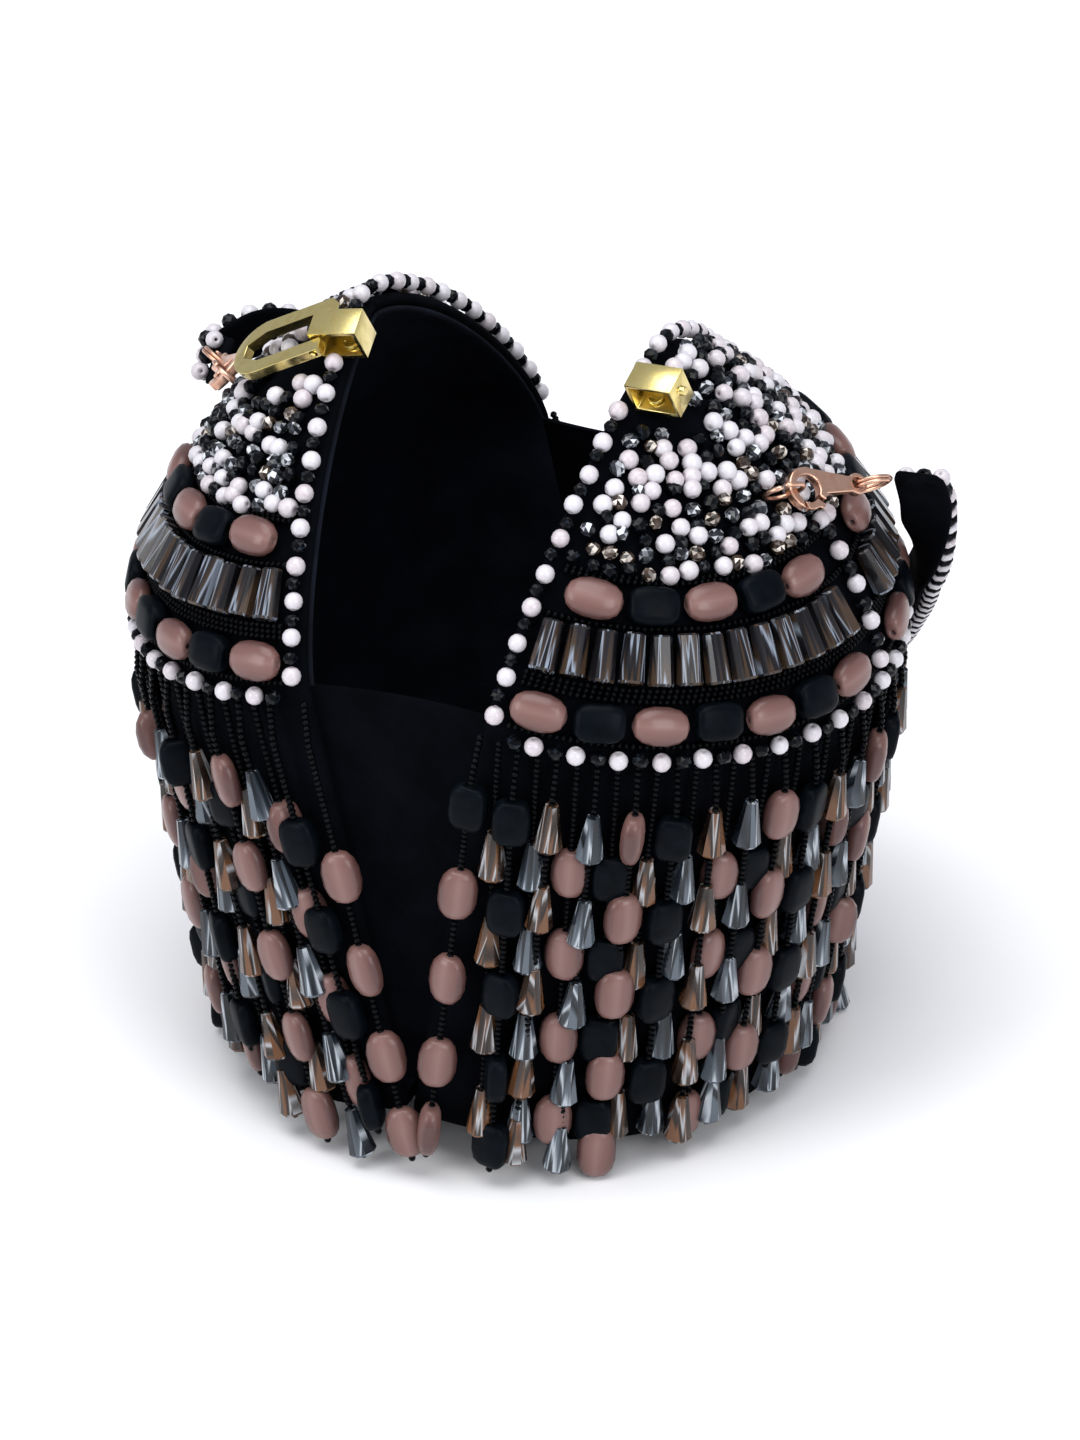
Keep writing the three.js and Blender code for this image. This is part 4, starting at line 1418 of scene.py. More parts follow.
@dataclass
class BeadStrings(Beadwork):
    """Strings of white and black beads: along the rim, round the hem and up the side seam."""

    lift: float = 2.5
    rim_x: float = 2.5
    rim_foot: float = 3.8
    rim_pitch: float = 3.85
    rim_small: float = 0.8
    clasp_arc: float = 79.5
    clasp_clear: float = 5.9
    hem_ends: float = math.radians(7.0)
    hem_pitch: float = 4.4
    hem_small: float = 0.9
    seam_from: float = 4.8
    seam_to: float = 35.5
    seam_pitch: float = 4.1
    seam_small: float = 0.95
    stray: float = 0.3
    sizes: tuple[float, float] = (0.96, 1.04)

    def rim_frame(self, arc: float) -> Matrix:
        """Frame on the rim, by length from the hem at the front over the apex to the hem at the back."""
        form = self.half.form
        azimuth = 0.0 if arc <= form.apex else math.pi
        along = arc if arc <= form.apex else 2 * form.apex - arc
        return Matrix.Translation((self.rim_x, 0, 0)) @ form.frame(azimuth, along, self.lift)

    def alternate(self, frames: Sequence[Matrix], small: float, chance: Chance, first: int) -> list[Spot]:
        """Set white and black beads in turn.

        Args:
            frames: Frames in order.
            small: Size of the black beads.
            chance: Source of irregularities.
            first: Which of the first two beads is a white one.

        Returns:
            The beads' spots.
        """
        spots = []
        for index, local in enumerate(frames):
            kind, size = (Bead.WHITE, 1.0) if index % 2 == first else (Bead.BLACK, small)
            nudge = Matrix.Translation((chance.stray(self.stray), chance.stray(self.stray), 0))
            place = turned_about(local @ nudge, math.pi / 2 + chance.stray(self.stray), "Z")
            spots.append(Spot(kind, self.half.place(place), size * chance.uniform(*self.sizes)))
        return spots

    def spread(self, low: float, high: float, pitch: float) -> list[float]:
        """Even places from one end to the other at about this pitch."""
        return evenly(low, high, max(2, round((high - low) / pitch)))

    def build(self) -> None:
        """Sew the strings on."""
        form = self.half.form
        chance = self.half.chance("strings")
        front = self.spread(self.rim_foot, self.clasp_arc - self.clasp_clear, self.rim_pitch)
        back = self.spread(self.clasp_arc + self.clasp_clear, 2 * form.apex - self.rim_foot, self.rim_pitch)
        hem = self.spread(self.hem_ends, math.pi - self.hem_ends, self.hem_pitch / form.half_width)
        seam = self.spread(self.seam_from, self.seam_to, self.seam_pitch)
        front_frames = [self.rim_frame(arc) for arc in front]
        back_frames = [self.rim_frame(arc) for arc in back]
        hem_frames = [form.frame(turn, 0.0, self.lift) for turn in hem]
        seam_frames = [form.frame(math.pi / 2, arc, self.lift) for arc in seam]
        strings = (
            ("rim_string_front", "rim_beads_front", front_frames, self.rim_small, 0),
            ("rim_string_back", "rim_beads_back", back_frames, self.rim_small, 0),
            ("hem_string", "hem_beads", hem_frames, self.hem_small, 1),
            ("seam_string", "seam_beads", seam_frames, self.seam_small, 0),
        )
        for piece, node, frames, small, first in strings:
            self.sew(piece, self.alternate(frames, small, chance, first), "round_beads", node)


@dataclass
class Fringe(Beadwork):
    """Bead strands hung from the hem on seed threads: an outer row, and a second row between."""

    strands: int = 25
    rim_turn: float = 0.012
    start: float = 1.8
    length: float = 114.0
    path_end: float = 0.01
    heading_reach: int = 2
    head_lift: float = 2.2
    head_run: int = 9
    outer_lift: float = 4.6
    outer_first: float = 19.0
    outer_count: int = 5
    second_lift: float = 2.7
    second_first: float = 31.0
    second_count: int = 4
    left_later: float = 3.5
    left_beside_rim: float = 35.0
    bead_pitch: float = 21.8
    bead_half: float = 6.2
    drop_half: float = 5.6
    bead_side: float = 3.5
    seed_pitch: float = 1.28
    knot: float = 0.6
    settle_from: float = 6.5
    settle_at: float = 2.7
    landing: float = 1.5
    table_gap: float = 0.3
    hung: tuple[float, float] = (-10.0, -5.5)
    laid: tuple[float, float] = (-4.0, 2.0)
    laid_share: float = 0.12
    sway: tuple[tuple[Side, float], ...] = ((Side.RIGHT, 0.1), (Side.LEFT, 0.045))
    rim_sway: float = 0.035
    sway_stray: float = 0.03
    table_sway: float = 3.0
    first_stray: float = 1.6
    bead_stray: float = 0.7
    pitches: tuple[float, float] = (0.96, 1.02)
    sizes: tuple[float, float] = (0.97, 1.03)
    spin_stray: float = 0.4
    turned_share: float = 0.14
    turned_spin: float = 1.2
    cycles: tuple[tuple[Side, tuple[Bead, ...]], ...] = (
        (Side.RIGHT, (Bead.SLATE, Bead.AMBER_DROP, Bead.CLEAR_DROP, Bead.PINK)),
        (Side.LEFT, (Bead.SLATE, Bead.CLEAR_DROP, Bead.PINK, Bead.AMBER_DROP)),
    )
    rim_strands: tuple[tuple[Side, tuple[Bead, ...], float], ...] = (
        (Side.RIGHT, (Bead.SLATE, Bead.PINK, Bead.PINK, Bead.PINK, Bead.PINK), 19.5),
        (Side.LEFT, (Bead.PINK, Bead.PINK, Bead.PINK, Bead.PINK), 42.5),
    )

    def path(self, azimuth: float, lift: float, chance: Chance) -> list[Vector]:
        """Follow a strand down the wall and out over the table where it meets it.

        Args:
            azimuth: Where the strand hangs.
            lift: Distance of the strand from the wall.
            chance: Source of the strand's sway.

        Returns:
            A point for every millimetre of the strand, in metres.
        """
        form = self.half.form
        outwards = self.half.direction(form.normal(azimuth, 0.0))
        flat = Vector((outwards.x, outwards.y, 0)).normalized()
        down = self.half.direction(Vector((0, 0, -1)))
        tangent = outwards.cross(down)
        # The strands hang a little to the right, as in the photograph
        at_rim = min(azimuth, math.pi - azimuth) < 2 * self.rim_turn
        rate = self.rim_sway if at_rim else dict(self.sway)[self.half.side]
        sideways = tangent * (tangent.x * rate + chance.stray(self.sway_stray))
        place = self.half.carry(form.point(azimuth, -self.start, self.head_lift))
        points = [place]
        for step in range(int(self.length - self.start)):
            height = place.z / MM
            onward = down + sideways
            if step < self.head_run:
                onward = onward + outwards * (lift - self.head_lift) / self.head_run
            if height < self.settle_from:
                fall = max(0.0, (height - self.settle_at) / (self.settle_from - self.settle_at))
                onward = onward * fall + (flat + sideways * self.table_sway) * (1 - fall)
            place = place + onward.normalized() * MM
            points.append(place)
        return points

    def along(self, path: Sequence[Vector], distance: float) -> tuple[Vector, Vector]:
        """Point and unit direction of a strand's path at a distance below the hem."""
        share = min(max(distance - self.start, 0.0), len(path) - 1 - self.path_end)
        index = int(share)
        here = path[index].lerp(path[index + 1], share - index)
        behind = path[max(index - self.heading_reach, 0)]
        ahead = path[min(index + 1 + self.heading_reach, len(path) - 1)]
        return here, (ahead - behind).normalized()

    def strand(
        self, azimuth: float, lift: float, kinds: Sequence[Bead], first: float, chance: Chance
    ) -> tuple[list[Spot], list[list[Vector]]]:
        """String one strand.

        Args:
            azimuth: Where the strand hangs.
            lift: Distance of the strand from the wall.
            kinds: Its beads from the top.
            first: Distance of its first bead below the hem.
            chance: Source of irregularities.

        Returns:
            Its beads and the stretches of thread between them.
        """
        path = self.path(azimuth, lift, chance)
        outwards = self.half.direction(self.half.form.normal(azimuth, 0.0))
        spots = []
        threads = []
        tail = []
        reached = self.start
        first += chance.stray(self.first_stray)
        pitch = self.bead_pitch * chance.uniform(*self.pitches)
        # The lowest bead hangs to about where the strand meets the table, and few lie out flat
        floor = (self.settle_at + self.landing) * MM
        landed = next((step for step, point in enumerate(path) if point.z < floor), len(path))
        limits = self.laid if chance.random() < self.laid_share else self.hung
        lowest = self.start + landed + chance.uniform(*limits)
        for index, kind in enumerate(kinds):
            half = self.drop_half if kind in (Bead.AMBER_DROP, Bead.CLEAR_DROP) else self.bead_half
            wanted = first + index * pitch + chance.stray(self.bead_stray)
            centre = min(wanted, lowest, self.length - half - self.knot)
            if centre - half < reached:
                break
            here, direction = self.along(path, centre)
            # A bead that would dip into the table is lifted on to it
            below = half * abs(direction.z) + self.bead_side * math.sqrt(max(0.0, 1 - direction.z**2))
            here.z = max(here.z, (below + self.table_gap) * MM)
            side = outwards.cross(-direction).normalized()
            local = basis(-direction, side, (-direction).cross(side), here)
            spin = chance.stray(self.spin_stray)
            if chance.random() < self.turned_share:
                spin = chance.choice((-self.turned_spin, self.turned_spin))
            spots.append(Spot(kind, turned_about(local, spin, "X"), chance.uniform(*self.sizes)))
            threads.append(self.stretch(path, reached, centre - half))
            reached = centre + half
            tail = [here + direction * (half + step) * MM for step in (0.0, self.knot)]
        # The knot is hidden by one more seed, unless the bead stands on the table
        if tail and tail[-1].z > self.bead_side / 2 * MM:
            threads.append(tail)
        return spots, [thread for thread in threads if thread]

    def stretch(self, path: Sequence[Vector], low: float, high: float) -> list[Vector]:
        """Points of the thread from one distance below the hem to another."""
        if high <= low:
            return []
        return [self.along(path, distance)[0] for distance in evenly(low, high, max(1, int(high - low)))]

    def rows(self, index: int) -> list[tuple[float, float, Sequence[Bead], float]]:
        """Strands at one place: the outer one and, where there is room, one of the second row beside it.

        Args:
            index: Which place, from the front rim.

        Returns:
            Azimuth, lift, beads from the top and the first one's distance below the hem, for each strand.
        """
        side = self.half.side
        on_left = side is Side.LEFT
        cycle = dict(self.cycles)[side]
        from_rim = min(index, self.strands - 1 - index)
        beads = [cycle[(index - 1) % len(cycle)]] * self.outer_count
        first = self.outer_first + self.left_later * on_left
        if from_rim == 0:
            beads, first = next((kinds, start) for rim, kinds, start in self.rim_strands if rim is side)
        elif on_left and from_rim == 1:
            first = self.left_beside_rim
        pitch = (math.pi - 2 * self.rim_turn) / (self.strands - 1)
        azimuth = self.rim_turn + pitch * index
        rows = [(azimuth, self.outer_lift, beads, first)]
        beside_rim = on_left and index in (0, self.strands - 2)
        if index < self.strands - 1 and not beside_rim:
            second = [cycle[(index + 1) % len(cycle)]] * self.second_count
            rows.append((azimuth + pitch / 2, self.second_lift, second, self.second_first))
        return rows

    def build(self) -> None:
        """Hang the fringe."""
        chance = self.half.chance("fringe")
        spots = []
        threads = []
        for index in range(self.strands):
            for row in self.rows(index):
                beads, stretches = self.strand(*row, chance)
                spots += beads
                threads += stretches
        self.sew("fringe_beads", spots, "oval_beads", "fringe")
        seeds = self.box.string(self.half.name("fringe_threads"), threads, self.seed_pitch)
        hand_over(seeds, "round_beads", self.half.name("fringe"))


# Metalwork


@dataclass
class MetalPiece:
    """A metal piece made from its solid, with the body that it moves with."""

    node: str
    finish: Plate
    slot: str
    body: str = BAG
    weld: float = 0.002
    flat_within: float = math.radians(1)

    def solid(self) -> Piece:
        """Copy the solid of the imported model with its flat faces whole."""
        shape = bmesh.new()
        shape.from_mesh(frame["nodes"][self.node].data)
        bmesh.ops.remove_doubles(shape, verts=shape.verts, dist=self.weld * MM)
        bmesh.ops.dissolve_limit(shape, angle_limit=self.flat_within, verts=shape.verts, edges=shape.edges)
        return new_piece(to_mesh(shape, f"{self.node}_copy"), f"{self.node}_copy")

    def hand_in(self, mesh: Mesh, made: str) -> None:
        """Dress the finished mesh and name it for how it was made."""
        mesh.name = f"{self.node}_{made}"
        dress(mesh, self.finish, self.slot, self.node, body=self.body)


@dataclass
class Stamping(MetalPiece):
    """A stamped or milled metal piece: its solid with its edges eased."""

    ease: float = 0.2
    crease: float = math.radians(35)
    segments: int = 2
    flat_from: float = 6.0
    sharp: float = math.radians(28)

    def build(self) -> None:
        """Ease the edges and dress the piece."""
        copy = self.solid()
        bevel = copy.modifiers.new("ease", "BEVEL")
        bevel.width = self.ease * MM
        bevel.segments = self.segments
        bevel.limit_method = "ANGLE"
        bevel.angle_limit = self.crease
        mesh = settle(copy)
        # Large flats stay flat, and only eased edges and round sides are shaded round
        for face in mesh.polygons:
            face.use_smooth = face.area < self.flat_from * MM * MM
        mesh.set_sharp_from_angle(angle=self.sharp)
        self.hand_in(mesh, "plated")


@dataclass
class Casting(MetalPiece):
    """A small cast metal piece: its solid softened to a rounded casting."""

    grain: float = 0.2
    passes: int = 22
    softening: float = 0.5
    kept: float = 0.35

    def build(self) -> None:
        """Soften the solid and dress the piece."""
        copy = self.solid()
        remesh = copy.modifiers.new("cast", "REMESH")
        remesh.mode = "VOXEL"
        remesh.voxel_size = self.grain * MM
        smooth = copy.modifiers.new("polish", "SMOOTH")
        smooth.factor = self.softening
        smooth.iterations = self.passes
        copy.modifiers.new("thin", "DECIMATE").ratio = self.kept
        mesh = settle(copy)
        for face in mesh.polygons:
            face.use_smooth = True
        self.hand_in(mesh, "cast")


@dataclass(frozen=True)
class Wire:
    """Wire bent to a ring: its radius, its turns, their sideways step and the angle where it starts."""

    radius: float
    turns: float
    pitch: float
    open_at: float


@dataclass
class StrapFittings:
    """Rose-gold rings and lobster claw that clip the strap to one half."""

    half: Half
    azimuth: float
    arc: float
    heading: float
    lift: float = 6.5
    rise: float = math.radians(14)
    ring_radius: float = 4.4
    shell_ring_x: float = -6.0
    shell_wire: Wire = Wire(0.58, 0.985, 0.25, 2.2)
    split_ring_x: float = 18.0
    split_wire: Wire = Wire(0.42, 1.9, 0.86, 1.0)
    wire_end: float = 0.55
    ring_steps: int = 36
    wire_sides: int = 8
    lever_grain: float = 0.15
    strap_x: float = 25.2

    def frame(self) -> Matrix:
        """Frame of the claw: x towards the strap."""
        local = self.half.form.frame(self.azimuth, self.arc, self.lift)
        return turned_about(turned_about(local, self.heading, "Z"), -self.rise, "Y")

    def strap_end(self) -> Vector:
        """Point where the strap ends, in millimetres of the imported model."""
        return self.half.carry(self.frame() @ Vector((self.strap_x, 0, 0))) / MM

    def coil(self, centre: float, wire: Wire) -> Shape:
        """Bend wire to a ring in the claw's xz plane round a place along the claw."""
        steps = int(self.ring_steps * wire.turns)
        across = Vector((0, 1, 0))
        rings = []
        for step in range(steps + 1):
            turn = wire.open_at + math.tau * wire.turns * step / steps
            sideways = wire.pitch * wire.turns * (step / steps - 0.5)
            axis = Vector((math.cos(turn), 0, math.sin(turn)))
            middle = Vector((centre, sideways, 0)) + self.ring_radius * axis
            radius = wire.radius * (self.wire_end if step in (0, steps) else 1.0)
            angles = circle(self.wire_sides)
            rings.append([middle + radius * (math.cos(a) * axis + math.sin(a) * across) for a in angles])
        return rounded(loft(rings, closed=False, capped=True))

    def build(self) -> None:
        """Make the rings, the claw and its lever."""
        slot = "rose_gold_metal"
        rings = (
            ("shell_ring", self.shell_ring_x, self.shell_wire),
            ("split_ring", self.split_ring_x, self.split_wire),
        )
        for label, centre, wire in rings:
            shape = self.coil(centre, wire)
            self.half.carry_mesh(shape, self.frame())
            mesh = to_mesh(shape, self.half.name(f"{label}_wire"))
            dress(mesh, ROSE_GOLD, slot, self.half.name(label))
        Casting(self.half.name("claw"), ROSE_GOLD, slot).build()
        body = self.half.name("lever")
        Casting(self.half.name("claw_lever"), ROSE_GOLD, slot, body, grain=self.lever_grain).build()


@dataclass
class Clasp:
    """Gold flip clasp: a box on each half, with its screw, and the hasp on its pin."""

    form: BagForm
    arc: float = 79.5
    box_lift: float = 0.4
    left_shift: float = -4.8
    right_shift: float = 4.4
    box_length: float = 12.1
    box_half: float = 3.5
    box_height: float = 8.5
    pin_x: float = 10.3
    pin_z: float = 6.2
    rest: float = math.radians(22)
    hasp_reach: float = 26.5
    hasp_half: float = 7.3
    hasp_below: float = 3.4
    hasp_behind: float = 2.0
    above: float = 30.0
    ring_clear: float = 0.4
    ring_half: float = 0.5
    box_ease: float = 0.22
    screw_ease: float = 0.1
    pin_ease: float = 0.15
    pin_crease: float = math.radians(60)
    hasp_ease: float = 0.5

    def frame(self, side: Side) -> Matrix:
        """Frame on the rim: x away from the split, y up the rim, z out of the dome."""
        out = self.form.normal(0.0, self.arc)
        along = Vector((1, 0, 0))
        shift = self.left_shift if side is Side.LEFT else self.right_shift
        place = self.form.point(0.0, self.arc, self.box_lift) + shift * along
        return basis(along, out.cross(along), out, place)

    def hasp_frame(self) -> Matrix:
        """Frame of the hasp at rest: x along it from its pin, z out of its upper face."""
        pin = self.frame(Side.LEFT) @ Matrix.Translation((self.pin_x, 0, self.pin_z))
        return turned_about(pin, self.rest, "Y")

    def room(self, fittings: StrapFittings) -> ClaspRoom:
        """Room that the beads leave on the half with these strap fittings."""
        low = Vector((0, -self.box_half, -self.box_height))
        high = Vector((self.box_length, self.box_half, self.above))
        boxes = [(self.frame(fittings.half.side), low, high)]
        reach = fittings.ring_radius + self.ring_clear
        ring_low = Vector((fittings.shell_ring_x - reach, -self.ring_half, -fittings.lift))
        ring_high = Vector((fittings.shell_ring_x + reach, self.ring_half, fittings.shell_wire.radius))
        boxes.append((fittings.frame(), ring_low, ring_high))
        if fittings.half.side is Side.LEFT:
            hasp_low = Vector((-self.hasp_behind, -self.hasp_half, -self.hasp_below))
            hasp_high = Vector((self.hasp_reach, self.hasp_half, self.above))
            boxes.append((self.hasp_frame(), hasp_low, hasp_high))
        return ClaspRoom(boxes)

    def build(self) -> None:
        """Dress the clasp's metal."""
        metal = (GOLD, "gold_metal")
        for side in Side:
            Stamping(f"clasp_box_{side.value}", *metal, ease=self.box_ease).build()
            Stamping(f"clasp_screw_{side.value}", *metal, ease=self.screw_ease).build()
        Stamping("hasp_pin", *metal, ease=self.pin_ease, crease=self.pin_crease).build()
        Stamping("hasp", *metal, "hasp_flap", ease=self.hasp_ease).build()


# Wrist strap


@dataclass
class WristStrap:
    """Velvet band clipped to both halves, with strings of white and black discs on its outer face."""

    box: BeadBox
    hinge: Vector
    ends: tuple[Vector, Vector]
    width: float = 13.0
    thick: float = 5.4
    cloth: float = 1.8
    cloth_inset: float = 0.7
    cloth_sides: int = 20
    cloth_powers: tuple[float, float] = (0.45, 0.6)
    end_width: float = 0.75
    end_run: float = 4.0
    rows: tuple[float, ...] = (-4.4, 0.0, 4.4)
    bead_lift: float = 1.9
    disc_pitch: float = 2.1
    bare_ends: tuple[float, float] = (9.5, 4.0)
    big_ends: tuple[float, float] = (18.5, 36.0)
    big_pitch: float = 4.5
    big_rows: float = 0.9
    swing: float = math.radians(85)
    swing_from: float = 20.0
    swing_to: float = 50.0
    lift: float = 2.0
    lift_from: float = 5.0
    lift_to: float = 17.0
    steps: int = 160
    knot_steps: int = 40
    heading_reach: float = 4.0
    route: tuple[tuple[float, float, float], ...] = (
        (86.6, 19, 146.9),
        (87, 24.5, 139),
        (85.5, 31, 125),
        (82, 40, 112),
        (72, 56, 93),
        (56, 75, 70),
        (29, 90, 52),
        (0, 95, 46),
        (-29, 91, 58),
        (-50, 82, 86),
        (-64, 70, 114),
        (-74, 57, 132),
        (-83, 45, 138),
        (-89, 34, 136),
    )
    path: list[tuple[float, Vector]] = field(init=False, default_factory=list)

    def __post_init__(self) -> None:
        """Lay the route as a centripetal curve through its points."""
        base = Vector((self.hinge.x, self.hinge.y, 0))
        knots = [self.ends[0]] + [Vector(point) + base for point in self.route] + [self.ends[1]]
        knots = [2 * knots[0] - knots[1]] + knots + [2 * knots[-1] - knots[-2]]
        points = []
        for index in range(1, len(knots) - 2):
            span = knots[index - 1 : index + 3]
            points += [self.between(span, step / self.knot_steps) for step in range(self.knot_steps)]
        points.append(self.ends[1])
        length = 0.0
        for index, point in enumerate(points):
            length += (point - points[index - 1]).length if index else 0.0
            self.path.append((length, point))

    def between(self, span: Sequence[Vector], share: float) -> Vector:
        """Point of the curve at a share of the way between the middle two of four knots."""
        times = [0.0]
        for low, high in zip(span, span[1:]):
            times.append(times[-1] + math.sqrt((high - low).length))
        now = times[1] + (times[2] - times[1]) * share
        layer = list(span)
        for degree in (1, 2):
            layer = [
                layer[i].lerp(layer[i + 1], (now - times[i]) / (times[i + degree] - times[i]))
                for i in range(len(layer) - 1)
            ]
        return layer[0].lerp(layer[1], share)

    @property
    def length(self) -> float:
        """Length of the strap."""
        return self.path[-1][0]

    def at(self, distance: float) -> Vector:
        """Point of the strap's middle line at a distance from its right end."""
        distance = min(max(distance, 0.0), self.length)
        later = (index for index, row in enumerate(self.path) if row[0] >= distance and index > 0)
        upper = next(later, len(self.path) - 1)
        (low, a), (high, b) = self.path[upper - 1], self.path[upper]
        return a.lerp(b, (distance - low) / (high - low))

    def near_end(self, distance: float, full: float, none: float) -> float:
        """Share that falls from one at a distance from the right end to nothing at a further one."""
        return min(max((none - distance) / (none - full), 0.0), 1.0)

    def frame(self, distance: float) -> Matrix:
        """Frame of the strap: x along it, y across it, z out of its beaded face."""
        here = self.at(distance)
        reach = self.heading_reach
        along = (self.at(distance + reach) - self.at(distance - reach)).normalized()
        away = Vector((here.x - self.hinge.x, here.y - self.hinge.y, 0)).normalized()
        # Near its right end the strap is turned so that its velvet faces the front, and its tip faces up
        turn = self.swing * self.near_end(distance, self.swing_from, self.swing_to)
        away = Matrix.Rotation(turn, 3, "Z") @ away
        away.z = self.lift * self.near_end(distance, self.lift_from, self.lift_to)
        side = away.cross(along).normalized()
        return basis(along, side, along.cross(side), here)

    def cloth_rings(self) -> list[list[Vector]]:
        """Sections of the velvet band, narrowed at its two ends, in metres."""
        half = self.width / 2 - self.cloth_inset
        middle = (self.cloth - self.thick) / 2
        flat, edge = self.cloth_powers
        outline = []
        for turn in circle(self.cloth_sides):
            y = signed_power(math.cos(turn), flat) * half
            z = signed_power(math.sin(turn), edge) * self.cloth / 2
            outline.append((y, z))
        rings = []
        for distance in evenly(0.0, self.length, self.steps):
            local = self.frame(distance)
            from_end = max(0.0, min(distance, self.length - distance))
            wide = self.end_width + (1 - self.end_width) * min(1.0, from_end / self.end_run) ** 0.5
            rings.append([local @ Vector((0, y * wide, middle + z)) * MM for y, z in outline])
        return rings

    def row_spots(self, distance: float, kinds: Sequence[Bead], narrow: float = 1.0) -> list[Spot]:
        """One bead of each kind across the band at a distance from its right end."""
        local = self.frame(distance)
        lift = self.cloth - self.thick / 2 + self.bead_lift
        spots = []
        for kind, row in zip(kinds, self.rows):
            place = local @ Matrix.Translation((0, narrow * row, lift))
            place.translation *= MM
            spots.append(Spot(kind, place))
        return spots

    def beads(self) -> list[Spot]:
        """Strings of discs along the band, and larger round beads over its two ends."""
        spots = []
        right, left = self.big_ends
        for index in range(int((self.length - right - left) / self.disc_pitch)):
            kind = Bead.BLACK_DISC if index % 2 else Bead.WHITE_DISC
            spots += self.row_spots(right + index * self.disc_pitch, [kind] * len(self.rows))
        for end, (bare, big) in enumerate(zip(self.bare_ends, self.big_ends)):
            for index in range(int((big - bare) / self.big_pitch)):
                distance = bare + (index + 0.5) * self.big_pitch
                kinds = [Bead.BLACK if (index + row) % 2 else Bead.WHITE for row in range(len(self.rows))]
                spots += self.row_spots(self.length - distance if end else distance, kinds, self.big_rows)
        return spots

    def build(self) -> None:
        """Make the band and string its beads."""
        shape = rounded(loft(self.cloth_rings(), closed=False, capped=True))
        dress(to_mesh(shape, "wrist_strap_velvet"), VELVET, "velvet", "wrist_strap")
        hand_over(self.box.sew("wrist_strap_beads", self.beads()), "round_beads", "wrist_strap")


# Studio


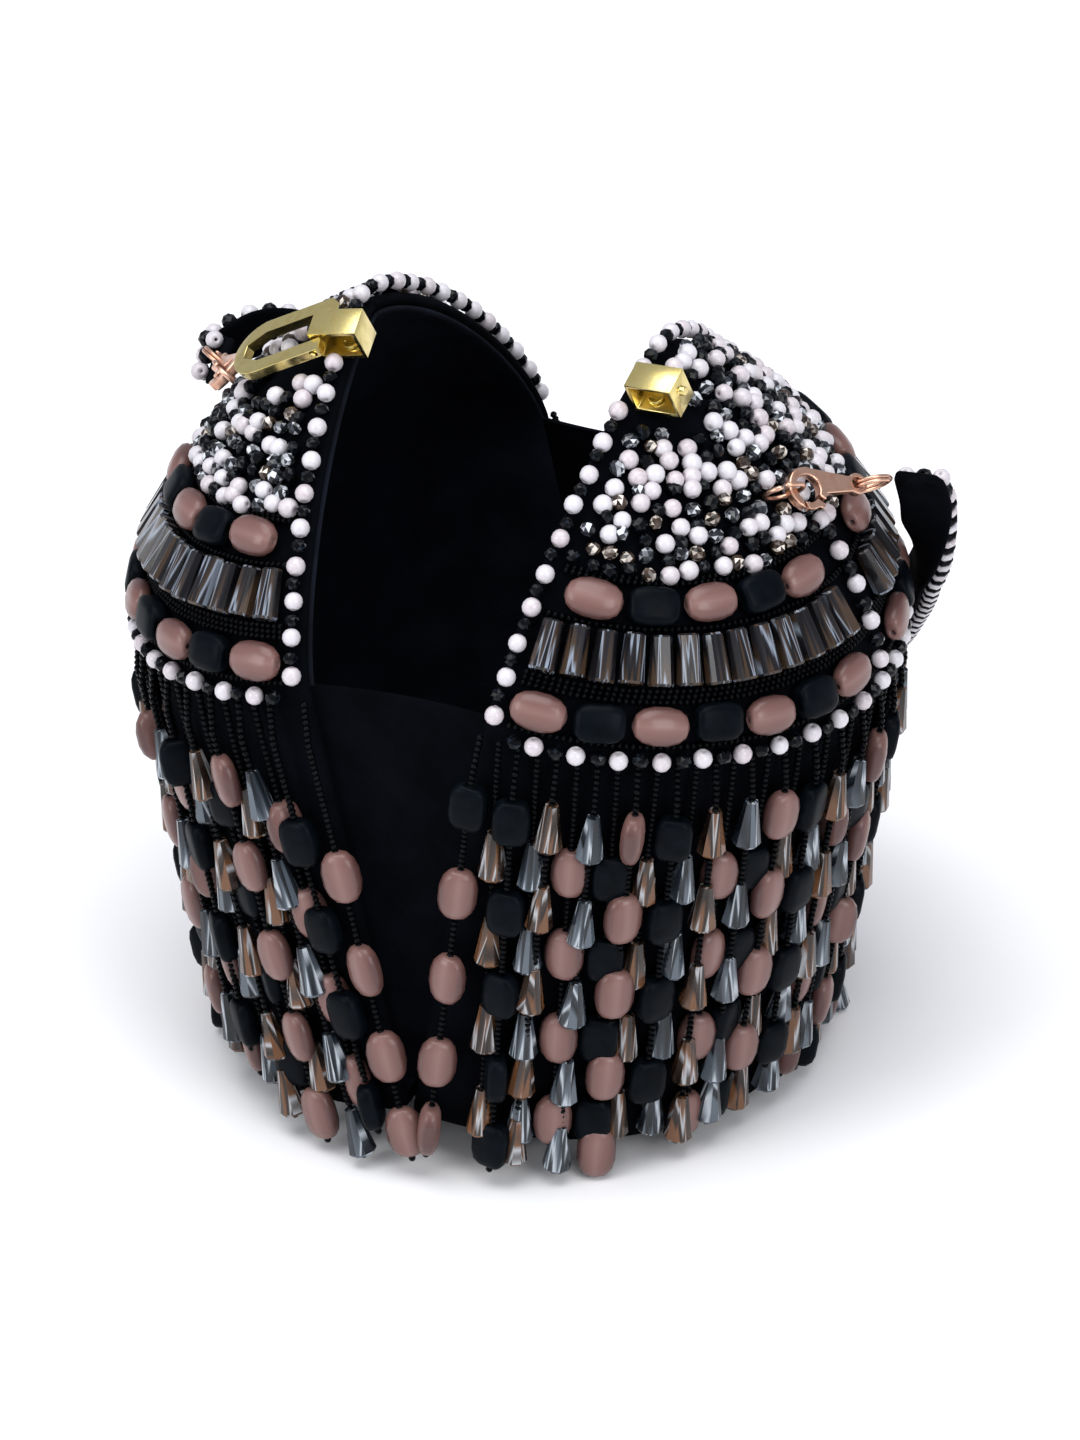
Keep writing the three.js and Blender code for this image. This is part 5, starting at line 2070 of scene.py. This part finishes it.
@dataclass
class Studio:
    """Plain pale floor, soft light from above and the camera at the photograph's angle."""

    hinge: Vector
    camera_offset: tuple[float, float, float] = (718.66, -1677.05, 1103.09)
    azimuth: float = math.radians(23.07)
    elevation: float = math.radians(29.71)
    roll: float = math.radians(-1.47)
    lens: float = 235.017
    sensor: float = 36.0
    view_metres: float = 100.0
    floor_metres: float = 6.0
    floor_colours: tuple[str, str] = ("#f7f7f8", "#f9f9f9")
    floor_grain: float = 40.0
    sky_strength: float = 0.5
    sky_colour: str = "#eef2ff"
    light_target: tuple[float, float, float] = (0.0, 0.0, 0.08)
    lights: tuple[tuple[tuple[float, float, float], float, float], ...] = (
        ((0.0, -0.3, 2.1), 1.9, 42.0),
        ((-1.1, -1.5, 0.9), 0.9, 13.0),
        ((1.5, -1.0, 0.9), 0.9, 13.0),
    )

    def camera(self) -> None:
        """Set the camera."""
        level = math.cos(self.elevation)
        x = math.sin(self.azimuth) * level
        y = -math.cos(self.azimuth) * level
        back = Vector((x, y, math.sin(self.elevation)))
        right = Vector((math.cos(self.azimuth), math.sin(self.azimuth), 0))
        up = back.cross(right)
        rolled_right = right * math.cos(self.roll) + up * math.sin(self.roll)
        rolled_up = up * math.cos(self.roll) - right * math.sin(self.roll)
        data = bpy.data.cameras.new("camera")
        data.lens = self.lens
        data.sensor_width = self.sensor
        data.clip_end = self.view_metres
        camera = bpy.data.objects.new("camera", data)
        place = (Vector(self.camera_offset) + self.hinge) * MM
        camera.matrix_world = basis(rolled_right, rolled_up, back, place)
        bpy.context.scene.collection.objects.link(camera)
        bpy.context.scene.camera = camera

    def floor(self) -> None:
        """Lay a floor of matte card, with a grain too faint to stand out."""
        paint = Paint("matte_white_card")
        grain = paint.noise(paint.place(), per(self.floor_grain))
        grey, white = self.floor_colours
        colour = paint.ramp(grain, (0.3, grey), (0.8, white))
        card = paint.finish({"Base Color": colour, "Roughness": 0.9})
        shape = bmesh.new()
        half = self.floor_metres / 2
        corners = [(-half, -half, 0), (half, -half, 0), (half, half, 0), (-half, half, 0)]
        shape.faces.new([shape.verts.new(corner) for corner in corners])
        new_piece(to_mesh(shape, "floor"), "floor", card)

    def light(self) -> None:
        """Set the lamps and the sky."""
        target = Vector(self.light_target)
        for index, (place, size, power) in enumerate(self.lights):
            data = bpy.data.lights.new(f"softbox_{index}", "AREA")
            data.size = size
            data.energy = power
            lamp = bpy.data.objects.new(data.name, data)
            lamp.location = place
            lamp.rotation_euler = (target - Vector(place)).to_track_quat("-Z", "Y").to_euler()
            bpy.context.scene.collection.objects.link(lamp)
        world = bpy.data.worlds.new("soft_sky")
        world.use_nodes = True
        sky = world.node_tree.nodes["Background"].inputs
        sky["Color"].default_value = linear(self.sky_colour)
        sky["Strength"].default_value = self.sky_strength
        bpy.context.scene.world = world
        bpy.context.scene.view_settings.view_transform = "Standard"

    def build(self) -> None:
        """Set up the studio."""
        self.camera()
        self.floor()
        self.light()


# Azimuth, length up the dome and heading of the claw on each half
CLAWS = {
    Side.RIGHT: (math.radians(84), 47.5, math.radians(-27)),
    Side.LEFT: (math.radians(96), 46.0, math.radians(-38)),
}


def main() -> None:
    """Dress the clutch and set up the studio."""
    logging.basicConfig(level=logging.INFO, format="%(message)s")
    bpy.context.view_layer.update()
    form = BagForm()
    halves = bag_halves(form)
    hinge = halves[Side.LEFT].hinge
    Studio(hinge).build()
    box = BeadBox(BeadShapes())
    clasp = Clasp(form)
    fittings = {side: StrapFittings(halves[side], *place) for side, place in CLAWS.items()}
    for side, half in halves.items():
        VelvetHalf(half).build()
        DomeField(half, box, clasp.room(fittings[side])).build()
        StoneBands(half, box).build()
        BeadStrings(half, box).build()
        Fringe(half, box).build()
        fittings[side].build()
    clasp.build()
    for end in ("front", "back"):
        Gusset(form, hinge, end).build()
    HingeStrip(form, hinge).build()
    WristStrap(box, hinge, (fittings[Side.RIGHT].strap_end(), fittings[Side.LEFT].strap_end())).build()
    box.put_away()


if __name__ == "__main__":
    main()
